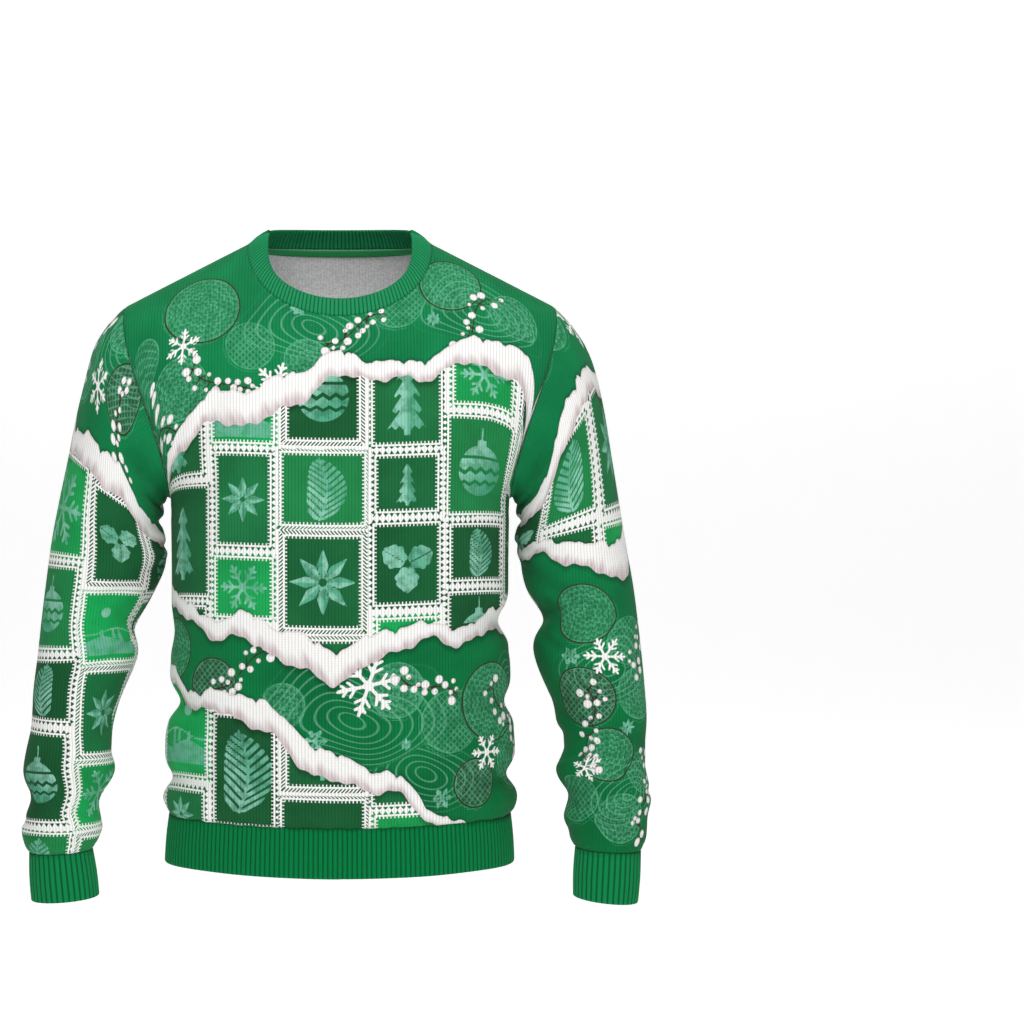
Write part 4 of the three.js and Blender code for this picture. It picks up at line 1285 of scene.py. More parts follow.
@dataclass(frozen=True)
class Spot:
    """A motif in the open field, in one of the three printed colours."""

    x: float
    y: float
    size: float
    motif: Motif
    layer: str = "white"
    turn: float = 0.0

    def draw(self, s: Array, t: Array, out: dict[str, Array]) -> None:
        """Adds the motif to its layer."""
        dx, dy = s - self.x, t - self.y
        close = np.hypot(dx, dy) < self.size * 1.6
        x, y = turned(dx[close], dy[close], self.turn)
        layer = out[self.layer]
        layer[close] = np.minimum(layer[close], self.motif.shape(x, y, self.size))
        out["tone"][close] = self.motif.tone(x, y, self.size)


@dataclass(frozen=True)
class BerryTwig:
    """A thin dark twig that bends through its length, with clusters of white berries along it."""

    x: float
    y: float
    length: float
    turn: float
    seed: int

    def draw(self, s: Array, t: Array, out: dict[str, Array]) -> None:
        """Draws the twig as a signed distance to its bent line, its spurs as strokes, and its
        berries, kept apart, as circles with a soft ring and a dark tip."""
        u, v = turned(s - self.x, t - self.y, self.turn)
        close = (np.abs(u) < self.length * 0.75) & (np.abs(v) < self.length * 0.45)
        if not close.any():
            return
        u, v = u[close], v[close]
        rng = np.random.default_rng(self.seed)

        def stem(p: Array) -> Array:
            """Sideways place of the twig at p along it."""
            return self.length * 0.14 * np.sin(np.asarray(p) / self.length * math.pi * 1.4)

        off = v - stem(u)
        on = smooth_step((self.length * 0.56 - np.abs(u)) / 4) * (np.abs(off) < 3)
        stronger = on > out["twig_on"][close]
        out["twig"][close] = np.where(stronger, off, out["twig"][close])
        out["twig_on"][close] = np.where(stronger, on, out["twig_on"][close])
        spurs, berries, tips = (np.full_like(u, FAR) for _ in range(3))
        ring = np.zeros_like(u)
        placed: list[tuple[float, float, float]] = []
        for share in np.linspace(-0.5, 0.5, 8):
            root = share * self.length
            for _ in range(rng.integers(5, 10)):
                p = root + rng.normal(0, 0.06) * self.length
                q = float(stem(p)) + rng.choice((-1, 1)) * rng.uniform(0.03, 0.15) * self.length
                radius = rng.uniform(2.2, 4.9)
                if any(math.hypot(p - a, q - b) < radius + r + 0.3 for a, b, r in placed):
                    continue
                placed.append((p, q, radius))
                spurs = np.minimum(spurs, segment(u, v, root, float(stem(root)), p, q) - 0.7)
                reach = np.hypot(u - p, v - q)
                berries = np.minimum(berries, reach - radius)
                tips = np.minimum(tips, np.hypot(u - p + 0.3 * radius, v - q) - 0.75)
                rim = smooth_step(1 - np.abs(reach - radius) / 1.4) * 0.7
                ring = np.maximum(ring, rim * (reach < radius + 1.5))
        dark = np.minimum(np.maximum(spurs, -berries), tips)
        out["bark"][close] = np.minimum(out["bark"][close], dark)
        out["white"][close] = np.minimum(out["white"][close], berries)
        out["shade"][close] = np.where(berries < 1.5, ring, out["shade"][close])


@dataclass(frozen=True)
class Rosette:
    """A round tone-on-tone ornament, of petals or, as a lattice, of diamonds.

    A lined one has a thin bark ring round it, and a lined lattice lies on a dark brown ground.
    """

    x: float
    y: float
    radius: float
    lattice: bool = False
    lined: bool = False
    brown: str = "#24331F"

    def draw(self, s: Array, t: Array, out: dict[str, Array]) -> None:
        """Sets the place from the middle, the radius and the kind on the points inside."""
        dx, dy = s - self.x, t - self.y
        inside = np.hypot(dx, dy) < self.radius + 3
        count = int(inside.sum())
        kind = np.full(count, float(self.lattice))
        radius = np.full(count, self.radius)
        out["ornament"][inside] = np.stack([dx[inside], dy[inside], radius, kind], -1)
        inwards = self.radius - np.hypot(dx, dy)
        out["ground"][:, :3] *= (1 - 0.16 * smooth_step(inwards / 2.0))[:, None]
        if not self.lined:
            return
        rim = np.abs(inwards) < 4
        out["twig"][rim] = inwards[rim]
        out["twig_on"][rim] = 1.0
        if self.lattice:
            share = (0.85 * smooth_step(inwards / 1.5))[:, None]
            out["ground"] = lerp(out["ground"], np.array(linear(self.brown)), share)


@dataclass(frozen=True)
class Swirl:
    """Faint contour lines round a place in the field, like wind drawn in snow."""

    x: float
    y: float
    radius: float
    stretch: float

    def draw(self, s: Array, t: Array, out: dict[str, Array]) -> None:
        """Sets a bent distance from the middle, whose even steps are the lines."""
        dx, dy = (s - self.x) / self.stretch, t - self.y + 7 * np.sin((s - self.x) / 21.0)
        reach = np.hypot(dx, dy) + 4 * np.sin((t - self.y) / 13.0)
        on = smooth_step((self.radius - reach) / 14.0)
        stronger = on > out["flow_on"]
        out["flow"] = np.where(stronger, reach, out["flow"])
        out["flow_on"] = np.maximum(out["flow_on"], on)


@dataclass(frozen=True)
class PrintLayout:
    """Where the design lies on one piece of cloth, in mm of cloth.

    Drifts run across it from the highest to the lowest, and divide it into areas: the field where
    fills has False, patches where it has True, from the top down.
    """

    drifts: tuple[Drift, ...]
    fills: tuple[bool, ...]
    patchwork: Patchwork
    rosettes: tuple[Rosette, ...] = ()
    swirls: tuple[Swirl, ...] = ()
    twigs: tuple[BerryTwig, ...] = ()
    spots: tuple[Spot, ...] = ()
    # length and the two greens: the ground lightens up the cloth over length, as painted light from
    # above
    length: float = 650.0
    lower_green_painted_shade: str = "#046C39"
    upper_green_painted_light: str = "#0F7B48"

    def fields(self, s: Array, t: Array) -> dict[str, Array]:
        """All printed fields for points at s across and t up the cloth."""
        s, t = s.ravel(), t.ravel()
        out = {name: np.full_like(s, FAR) for name in ("white", "mint", "bark", "edge")}
        for name in ("upright", "slanted", "tone", "shade", "twig", "twig_on", "flow", "flow_on"):
            out[name] = np.zeros_like(s)
        out["ornament"] = np.tile([FAR, FAR, 0.0, 0.0], (len(s), 1))
        # painted light: the ground green darker low on the cloth and lighter high up
        height = smooth_step(t / self.length)[:, None]
        low, high = np.array(linear(self.lower_green_painted_shade)), np.array(linear(self.upper_green_painted_light))
        out["ground"] = lerp(low, high, height)
        area = np.zeros(len(s), int)
        for drift in self.drifts:
            area += t < drift.middle(s)
        patched = np.array(self.fills)[area]
        for shape in self.swirls + self.rosettes + self.twigs + self.spots:
            shape.draw(s, t, out)
        out["ornament"][patched] = (FAR, FAR, 0.0, 0.0)
        for name in ("white", "mint", "bark"):
            out[name][patched] = FAR
        for name in ("twig_on", "flow_on", "shade"):
            out[name][patched] = 0
        self.patchwork.draw(s, t, patched, out)
        for drift in self.drifts:
            drift.draw(s, t, out)
        return out


FLAKE, STAR = Motif.FLAKE, Motif.STAR
FRONT_PRINT = PrintLayout(
    drifts=(
        Drift(462, 0.30, 24, 620, 27, 2),
        Drift(206, -0.06, 22, 430, 24, 5),
        Drift(64, -0.42, 12, 520, 20, 9),
    ),
    fills=(False, True, False, True),
    patchwork=Patchwork(),
    rosettes=table(
        Rosette,
        (-176, 470, 34), (-150, 560, 42, False, True), (-96, 514, 27, True), (-36, 500, 24),
        (60, 566, 30, True), (120, 590, 34, False, True), (190, 560, 28), (-228, 520, 30, True),
        (-206, 186, 34, False, True), (-140, 150, 28, True, True), (60, 148, 30),
        (120, 112, 34, True), (176, 130, 42, False, True), (216, 70, 34),
        (150, 44, 26, True, True), (-60, 132, 24),
    ),
    swirls=table(
        Swirl,
        (-30, 540, 50, 1.7), (10, 120, 64, 1.9), (-196, 420, 46, 1.2), (150, 560, 50, 1.5),
        (90, 60, 46, 1.6), (220, 150, 40, 1.2),
    ),
    twigs=table(
        BerryTwig,
        (-196, 440, 92, 1.85, 3), (-120, 470, 84, 2.5, 8), (16, 536, 66, 0.3, 5),
        (144, 540, 74, 0.9, 6), (206, 110, 92, 2.0, 12), (-104, 168, 80, 0.35, 17),
        (96, 150, 64, 2.6, 19),
    ),
    spots=table(
        Spot,
        (-66, 470, 26, FLAKE, "white", 0.3), (30, 154, 33, FLAKE, "white", 0.2),
        (166, 76, 20, FLAKE), (-170, 516, 20, FLAKE, "white", 0.4), (0, 492, 12, FLAKE, "mint"),
        (-44, 560, 9, FLAKE, "mint"), (-132, 424, 9, FLAKE, "mint"), (100, 545, 10, STAR, "mint"),
        (-26, 96, 12, FLAKE, "mint"), (-160, 110, 10, STAR, "mint"), (110, 30, 11, FLAKE, "mint"),
        (70, 90, 8, STAR, "mint"),
    ),
)
BACK_PRINT = PrintLayout(
    drifts=(
        Drift(514, -0.17, 24, 560, 32, 4),
        Drift(240, 0.16, 24, 480, 28, 7),
        Drift(76, 0.36, 14, 460, 24, 11),
    ),
    fills=(False, True, False, True),
    patchwork=Patchwork(start=-212.0, order=3),
    rosettes=table(
        Rosette,
        (120, 610, 42, False, True), (40, 640, 30, True), (200, 560, 34),
        (160, 530, 26, True, True), (-40, 640, 26), (-120, 190, 40, False, True),
        (-60, 160, 28, True), (60, 200, 32), (150, 220, 36, True, True), (-200, 150, 34, True),
        (216, 200, 26),
    ),
    swirls=(Swirl(60, 600, 60, 1.6), Swirl(-40, 150, 60, 1.8), Swirl(170, 190, 46, 1.4)),
    twigs=table(
        BerryTwig,
        (40, 588, 86, 2.8, 21), (180, 500, 84, 1.2, 22), (-60, 200, 86, 0.5, 23),
        (120, 230, 80, 2.2, 24),
    ),
    spots=table(
        Spot,
        (110, 560, 26, FLAKE), (-30, 628, 14, FLAKE, "mint"), (0, 170, 30, FLAKE, "white", 0.3),
        (-180, 130, 12, FLAKE, "mint"), (180, 220, 12, STAR, "mint"),
    ),
)
RIGHT_SLEEVE_PRINT = PrintLayout(
    drifts=(Drift(432, 0.16, 9, 300, 28, 3),),
    fills=(False, True),
    patchwork=Patchwork(
        widths=(84.0, 76.0), heights=(104.0, 88.0, 116.0, 80.0), start=-84.0, order=5
    ),
    rosettes=table(
        Rosette,
        (-60, 540, 32), (-116, 500, 28, True, True), (-30, 480, 26, True), (-150, 560, 26),
        (60, 520, 40, False, True), (130, 500, 30, True),
    ),
    swirls=(Swirl(-90, 530, 50, 1.3), Swirl(90, 540, 50, 1.3)),
    twigs=table(
        BerryTwig,
        (-26, 520, 84, 1.5, 31), (-120, 476, 70, 0.9, 32), (60, 500, 70, 1.2, 33),
    ),
    spots=table(
        Spot,
        (-72, 480, 20, FLAKE), (-92, 566, 10, FLAKE, "mint"), (90, 560, 12, FLAKE, "mint"),
    ),
)
LEFT_SLEEVE_PRINT = PrintLayout(
    drifts=(Drift(474, -0.16, 12, 260, 26, 6), Drift(322, 0.2, 11, 320, 26, 8)),
    fills=(False, True, False),
    patchwork=Patchwork(widths=(86.0, 76.0), heights=(108.0, 90.0, 120.0), start=-12.0, order=8),
    rosettes=table(
        Rosette,
        (60, 540, 30), (110, 566, 26, True), (100, 270, 34, False, True), (46, 240, 28, True),
        (36, 180, 30), (100, 176, 32, True, True), (76, 112, 30, False, True), (26, 92, 26, True),
        (60, 40, 28), (112, 60, 26, True), (-50, 240, 38), (-90, 160, 32, True), (-40, 90, 34),
    ),
    swirls=table(
        Swirl,
        (70, 210, 50, 1.3), (50, 70, 46, 1.2), (90, 560, 46, 1.2), (-70, 200, 60, 1.3),
    ),
    twigs=table(
        BerryTwig,
        (18, 250, 92, 1.65, 41), (96, 140, 84, 1.35, 42), (24, 62, 90, 1.5, 43),
        (80, 560, 64, 1.1, 44), (-70, 130, 80, 1.7, 45),
    ),
    spots=table(
        Spot,
        (74, 222, 22, FLAKE), (54, 142, 11, STAR, "mint"), (96, 96, 16, FLAKE, "white", 0.3),
        (24, 508, 18, FLAKE), (110, 220, 10, FLAKE, "mint"), (-60, 60, 20, FLAKE),
    ),
)


# Pieces


@dataclass
class Panel:
    """The front or back of the body: one piece of printed jersey with a rounded neckline."""

    side: Side
    layout: PrintLayout
    columns: int = 272
    rows: int = 340
    inner_step: int = 4
    spread_at: float = 0.62
    oval_depth: float = 0.62
    gather_height: float = 12.0
    gather_width: float = 11.0

    def grid(self) -> tuple[Array, Array]:
        """The grid's two parameters, with rows about even along a line up the panel."""
        u = np.linspace(-1, 1, self.columns + 1)
        fine = np.linspace(0, BODY.last_row, 2001)
        middle = BODY.panel(self.side, np.full_like(fine, self.spread_at), fine)
        length = running_length(middle, 0)
        row = np.interp(np.linspace(0, length[-1], self.rows + 1), length, fine)
        return np.meshgrid(u, row)

    def _seams(self, u: Array, row: Array) -> tuple[Array, Array]:
        """Which points lie on a side seam, and which on a shoulder seam."""
        side_seam = (np.abs(u) == 1) & (row <= BODY.lower_rows)
        return side_seam, (row >= row.max()) & (np.abs(u) >= BODY.neck_share)

    def _normals(self, points: Array, u: Array, row: Array) -> Array:
        """Outward normals from the grid's own steps, laid flat where two panels meet."""
        across, up = np.gradient(points, axis=1), np.gradient(points, axis=0)
        normals = unit(np.cross(across, up) * -self.side.value)
        side_seam, shoulder = self._seams(u, row)
        normals[side_seam, 1] = 0
        tilt = BODY.shoulder_slope * np.sign(u[shoulder])
        normals[shoulder] = np.stack([tilt, 0 * tilt, 0 * tilt + 1], -1)
        normals[row <= 0, 2] = 0
        return unit(normals)

    def surface(self) -> tuple[Array, Array]:
        """Points and normals of the outer face: the form moved out by its folds, and in by a
        small dip along each seam, where the sewing pulls the cloth down."""
        u, row = self.grid()
        form = BODY.panel(self.side, u, row)
        normals = self._normals(form, u, row)
        x, z = form[..., 0], form[..., 2]
        offset = BODY.fold_offset(self.side, x, z) * BODY.fold_share(u, row)
        gather = wander(x, 5, ((19, 0.5), (31, 0.6), (13, 0.25)))
        offset += gather * bell((z - BODY.hem_seam_z - self.gather_height) / self.gather_width)
        points = form + normals * offset[..., None]
        round_body, climbed = running_length(points, 1), running_length(points, 0)
        to_side = np.minimum(round_body, round_body[:, -1:] - round_body)
        to_seam = np.minimum(np.minimum(to_side, climbed[-1:] - climbed), climbed)
        points = points - normals * seam_dip(to_seam)[..., None]
        side_seam, shoulder = self._seams(u, row)
        points[side_seam | shoulder, 1] = self.side.value * SEAM_GAP / 2
        return points, self._normals(points, u, row)

    def cloth(self, points: Array) -> tuple[Array, Array]:
        """Millimetres of cloth: s round the section from the middle, t up the cloth from the hem.

        s is the arc of an oval of the form's own shape, so that wales run straight up. t adds up
        the height with the form's slope towards the shoulder.
        """
        share = np.sin(np.linspace(0, math.pi / 2, 600))
        oval = self.oval_depth * oval_height(share, BODY.body_roundness)
        arc = running_length(np.stack([share, oval], -1), 0)
        x, z = points[..., 0], points[..., 2]
        half = BODY.form_half_width(self.side, z)
        s = np.sign(x) * half * np.interp(np.abs(x) / half, share, arc)
        slope = BODY.form_depth(self.side, x, z + 1) - BODY.form_depth(self.side, x, z - 1)
        step = np.sqrt(1 + np.clip(slope / 2, -2.5, 2.5) ** 2)
        climb = np.diff(z, axis=0) * (step[1:] + step[:-1]) / 2
        t = np.concatenate([np.zeros_like(z[:1]), np.cumsum(climb, axis=0)])
        return s, t

    def build(self, materials: Sequence[Material]) -> Object:
        points, normals = self.surface()
        shell = GridShell(points, normals, CLOTH_WALL, self.inner_step, False, -self.side.value)
        s, t = self.cloth(points)
        name = f"{self.side.name.lower()}_panel"
        obj = shell.make(f"{name}_cloth", s, t, self.layout.fields(s, t), materials)
        hang_cloth(obj, name, np.ptp(s), np.ptp(t), shell.area())
        return obj


@dataclass
class SleeveForm:
    """The worn shape of one sleeve: rings between an outer and an inner outline."""

    side: int
    sections: tuple[SleeveSection, ...]
    cuff_end: SleeveSection
    slant: float = 0.45

    def __post_init__(self) -> None:
        """Makes the table's columns into curves of the section's number."""
        numbers = range(len(self.sections))
        keys = ("outer_x", "outer_z", "inner_x", "inner_z", "depth", "forward")
        self.curve = {k: smooth_column(numbers, [getattr(r, k) for r in self.sections]) for k in keys}
        self.last = len(self.sections) - 1

    def base(self, at: Array, angle: Array) -> Array:
        """A ring's point: a cosine between the two outlines in the front view, a sine in depth.

        Sections lean, so that a pinch on the inner side runs down across the front.
        """
        c = self.curve
        lean = self.slant * np.sin(angle) * smooth_step((at - 5) / 3) * smooth_step(self.last - at)
        level = np.cos(angle)
        bow = BODY.armhole_bow * level * (1 - level * level) * (1 - smooth_step(at / 4))
        share = (1 + level) / 2
        x = lerp(c["inner_x"](at + lean), c["outer_x"](at + lean), share) + bow
        z = lerp(c["inner_z"](at), c["outer_z"](at), share)
        y = -c["forward"](at) - c["depth"](at) * np.sin(angle)
        return np.stack([self.side * x, y, z], axis=-1)


SLEEVE_CREASES = table(
    Crease,
    (9.3, 130, -1.1, -4.5, 0.55, 95), (11.2, 150, 0.9, -4, 0.5, 90),
    (13.4, 110, -0.8, -4, 0.5, 100), (15.2, 60, 0.7, -3.5, 0.4, 110),
    (10.2, 250, 0.9, -4, 0.55, 90), (13.1, 280, -0.9, -4, 0.5, 90), (5.4, 150, -1.4, -4, 0.7, 70),
    (7.4, 158, -1.2, -2.6, 0.3, 62), (8.2, 120, -0.9, -2.8, 0.27, 66),
    (8.9, 160, 0.5, -3.0, 0.25, 55), (9.7, 150, -1.5, -3.4, 0.24, 70),
    (10.4, 95, 0.7, -2.4, 0.25, 70), (11.9, 150, -1.0, -2.9, 0.22, 66),
    (12.3, 70, -0.6, -2.9, 0.25, 75), (12.6, 200, 0.5, -2.6, 0.25, 60),
    (13.2, 145, 1.0, -3.0, 0.22, 60), (14.4, 140, 0.6, -3.2, 0.22, 70),
    (14.7, 30, -0.5, -2.8, 0.22, 60), (15.3, 155, -0.8, -2.3, 0.24, 74),
    (15.8, 100, -0.5, -2.2, 0.26, 80), (16.5, 170, 0.4, -2.2, 0.28, 70),
    (16.4, 300, 0.4, -2.8, 0.22, 80), (14.0, 320, -0.6, -2.7, 0.24, 70),
    (3.2, 165, -1.0, -5.6, 0.34, 62), (4.4, 190, 0.9, -4.8, 0.36, 66),
    (2.4, 126, -1.2, -7.5, 0.55, 46), (6.3, 172, -0.7, -4.2, 0.3, 58),
)
LEFT_FORM = SleeveForm(
    side=1,
    sections=table(
        SleeveSection,
        (239, -70, 188, -284, 72, 0),
        (257, -90, 192, -281, 72.5, 0),
        (272, -112, 194, -284, 73, 0),
        (284, -142, 196, -292, 73, 0),
        (294, -186, 196.5, -303, 72, -1),
        (303, -240, 196, -316, 70, -2),
        (312, -296, 194.5, -332, 67, -2),
        (320, -345, 201, -355, 64, -2),
        (327, -386, 209, -385, 61, -1),
        (331, -418, 224, -414, 58, 0),
        (334.5, -452, 215, -448, 57, 3),
        (338, -495, 230, -493, 55, 7),
        (339.5, -526, 239, -527, 52, 11),
        (337.5, -558, 248, -556, 49, 15),
        (338, -585, 239, -582, 49, 18),
        (344, -610, 251, -610, 46, 21),
        (339, -633, 247, -634, 45, 23),
        (337, -656, 254, -657, 42, 25),
        (331, -670, 259, -667, 37, 26),
    ),
    cuff_end=SleeveSection(327, -726, 256, -719.5, 37, 31),
)
RIGHT_FORM = SleeveForm(
    side=-1,
    sections=table(
        SleeveSection,
        (239, -70, 188, -284, 72, 0),
        (257, -89, 192, -281, 72.5, 0),
        (273, -115, 194, -284, 73, 0),
        (284, -154, 196, -292, 73, 0),
        (294, -195, 196.5, -303, 72, -1),
        (303, -240, 196, -317, 70, -2),
        (313, -288, 193.5, -333, 68, -2),
        (321, -332, 193, -351, 66, -2),
        (327, -378, 206, -383, 62, -1),
        (332, -420, 226, -423, 58, 0),
        (336, -460, 225, -455, 56, 3),
        (340, -497, 241, -496, 53, 7),
        (342, -540, 252, -545, 50, 12),
        (350, -585, 249, -582, 49, 17),
        (341, -616, 266, -615, 44, 20),
        (351, -642, 261.5, -641, 45, 22),
        (348, -662, 267, -659, 42, 24),
        (342, -672, 272.5, -669, 37, 25),
    ),
    cuff_end=SleeveSection(339, -724, 264.5, -719, 37, 30),
)


@dataclass
class Sleeve:
    """One sleeve: printed jersey, set in at the armhole and gathered a little into its cuff."""

    name: str
    form: SleeveForm
    layout: PrintLayout
    around: int = 252
    rows: int = 304
    inner_step: int = 4

    def _normals(self, points: Array) -> Array:
        """Outward normals of a grid that closes round the arm."""
        along = np.gradient(points, axis=0)
        return unit(np.cross(along, round_steps(points, 1)) * -self.form.side)

    def surface(self) -> tuple[Array, Array]:
        """Points and normals: the form moved in by creases, each a bell across a slanting line
        that fades round the arm, and by a dip along the two seams."""
        fine = np.linspace(0, self.form.last, 1500)
        middle = self.form.base(fine, np.full_like(fine, math.pi / 2))
        length = running_length(middle, 0)
        at = np.interp(np.linspace(0, length[-1], self.rows + 1), length, fine)
        angle = np.arange(self.around) * 2 * math.pi / self.around
        turn, number = np.meshgrid(angle, at)
        points = self.form.base(number, turn)
        normals = self._normals(points)
        plain = smooth_step((number - 1) / 2) * smooth_step((self.form.last - number) / 1.5)
        offset = np.zeros_like(number)
        for crease in SLEEVE_CREASES:
            away = (np.degrees(turn) - crease.round + 540) % 360 - 180
            line = crease.at + crease.run * away / 90
            fade = 1 - smooth_step(np.abs(away) / crease.reach)
            offset += crease.depth * fade * bell((number - line) / crease.width)
        climbed = running_length(points, 0)
        offset = offset * plain - seam_dip(np.minimum(climbed, climbed[-1:] - climbed))
        points = points + normals * offset[..., None]
        points[0, :, 0] += self.form.side * SEAM_GAP
        return points, self._normals(points)

    def cloth(self, points: Array) -> tuple[Array, Array]:
        """Millimetres of cloth: s round the arm from its outer edge, t up from the cuff.

        The round of the cut sleeve changes smoothly, so it is a parabola fitted to the worn one.
        """
        round_arm = running_length(close_ring(points), 1)
        total = round_arm[:, -1:]
        share = round_arm[:, :-1] / total
        share = np.where(share > 0.5, share - 1, share) * self.form.side
        climbed = running_length(points, 0)
        level = climbed[:, : self.around // 2].mean(axis=1)
        t = level[-1] - level
        even = np.polyval(np.polyfit(t, total[:, 0], 2), t)
        return share * even[:, None], np.broadcast_to(t[:, None], share.shape).copy()

    def build(self, materials: Sequence[Material]) -> Object:
        points, normals = self.surface()
        shell = GridShell(points, normals, CLOTH_WALL, self.inner_step, True, self.form.side)
        s, t = self.cloth(points)
        obj = shell.make(f"{self.name}_cloth", s, t, self.layout.fields(s, t), materials)
        hang_cloth(obj, self.name, np.ptp(s), np.ptp(t), shell.area())
        return obj


@dataclass
class RibBand:
    """A folded band of rib knit carried along a closed seam.

    Its section is a flat loop: down the outer face, round the fold and up the inner face. Ridges
    stand on both faces, and their height is a raised cosine round the band.
    """

    name: str
    node: str
    ribs: int
    ridge: float
    wall: float
    bulge: float
    points_per_rib: int = 6
    face_steps: int = 9
    fold_steps: int = 4

    @property
    def count(self) -> int:
        """How many points lie round the band."""
        return self.ribs * self.points_per_rib

    def profile(self) -> tuple[Array, Array, Array]:
        """Section as share of the width, and distances past the fold and out, in walls."""
        down = np.linspace(0, 1, self.face_steps)
        turn = np.linspace(0, math.pi, self.fold_steps + 2)[1:-1]
        share = np.concatenate([down, np.ones(self.fold_steps), down[::-1]])
        beyond = np.concatenate([0 * down, np.sin(turn) * 0.5, 0 * down])
        out = np.concatenate([0 * down, (np.cos(turn) - 1) / 2, 0 * down - 1])
        return share, beyond, out

    def build(
        self, seam: Array, end: Array, normal: Array, end_normal: Array, width: float,
        material: Material, flip: bool,
    ) -> Object:
        """Args:
            seam: points of the outer face along the seam.
            end: points of the outer face at the fold.
            normal: outward directions along the seam.
            end_normal: outward directions at the fold.
            width: width of the band in mm, for its cloth coordinates.
            material: its rib knit.
            flip: turns the faces over.

        Returns:
            The object.
        """
        share, beyond, out = self.profile()
        rows = len(share)
        phase = np.arange(self.count) / self.points_per_rib
        groove = ((1 - np.cos(2 * math.pi * phase)) / 2) ** 1.4
        along = end - seam
        s, g = share[:, None, None], groove[None, :, None]
        normals = unit(lerp(normal[None], end_normal[None], smooth_step(s * 2.5)))
        fade = smooth_step(share / 0.08)[:, None, None]
        inwards = np.where(out > -0.5, -1.0, 1.0)[:, None, None]
        lift = self.bulge * np.sin(math.pi * s)
        depth = out[:, None, None] * self.wall + inwards * self.ridge * g * fade + lift
        past_fold = unit(along)[None] * (beyond * self.wall)[:, None, None]
        points = seam[None] + along[None] * s + normals * depth + past_fold
        numbers = np.arange(rows * self.count).reshape(rows, self.count)
        beside, below = np.roll(numbers, -1, axis=1), np.roll(numbers, -1, axis=0)
        both = np.roll(beside, -1, axis=0)
        order = (numbers, below, both, beside) if flip else (numbers, beside, both, below)
        quads = np.stack(order, -1).reshape(-1, 4)
        round_band = running_length(close_ring(seam[None]), 1)[0, :-1]
        uv = np.stack(np.broadcast_arrays(round_band[None], share[:, None] * width), -1)
        fields = {"groove": np.tile(groove, rows)}
        obj = make_object(
            self.name, points.reshape(-1, 3), quads, NO_FACES, uv.reshape(-1, 2), fields, [material]
        )
        shown = np.stack([seam, end])
        rounds = running_length(close_ring(shown), 1)[:, -1].max()
        across = np.linalg.norm(along, axis=1).max()
        hang_cloth(obj, self.node, rounds, across, grid_area(shown, True))
        return obj


@dataclass
class NeckBand:
    """The crew-neck band: rib knit along the neckline, leaning in all round."""

    width: float = 25.0
    angle_front: float = 53.0
    angle_side: float = 30.0
    angle_back: float = 44.0
    smoothing: int = 40
    band: RibBand = field(
        default_factory=lambda: RibBand("neck_rib_knit", "neck_rib", 144, 0.85, 3.2, 1.6)
    )

    def seam(self) -> tuple[Array, Array, Array]:
        """Even points of the neckline, the panels' normals there, and the band's angle."""
        edge = BODY.neck_share
        parts, normals, angles = [], [], []
        for side, sign in ((Side.FRONT, 1), (Side.BACK, -1)):
            u = sign * np.linspace(-edge, edge, 601)[:-1]
            row = np.full_like(u, BODY.last_row)
            inner_u = np.clip(u, 0.015 - edge, edge - 0.015)
            here, below = BODY.panel(side, inner_u, row), BODY.panel(side, inner_u, row - 0.4)
            beside = BODY.panel(side, inner_u + 0.01, row) - BODY.panel(side, inner_u - 0.01, row)
            parts.append(BODY.panel(side, u, row))
            normals.append(unit(np.cross(beside, here - below) * -side.value))
            middle = self.angle_front if side is Side.FRONT else self.angle_back
            angles.append(lerp(middle, self.angle_side, np.abs(u / edge) ** 3))
        line, normal, angle = (np.concatenate(v) for v in (parts, normals, angles))
        values = (line, normal, angle[:, None])
        _, points, normal, angle = spread_evenly(line, self.band.count, values)
        return points, unit(normal), angle[:, 0]

    def build(self, material: Material) -> Object:
        """Builds the band. Up is the horizontal way into the neck, raised by the band's angle."""
        seam, normal, angle = self.seam()
        along = unit(round_steps(seam, 0))
        for _ in range(self.smoothing):
            along, normal = (
                unit(np.roll(v, 1, axis=0) + 2 * v + np.roll(v, -1, axis=0)) for v in (along, normal)
            )
        inwards = unit(np.stack([-along[:, 1], along[:, 0], 0 * along[:, 0]], -1))
        lean = np.radians(angle)[:, None]
        up = inwards * np.cos(lean) + np.array([0, 0, 1.0]) * np.sin(lean)
        out = unit(np.cross(along, up))
        start = seam + up * SEAM_GAP
        return self.band.build(
            start, start + up * self.width, normal, out, self.width, material, flip=True
        )


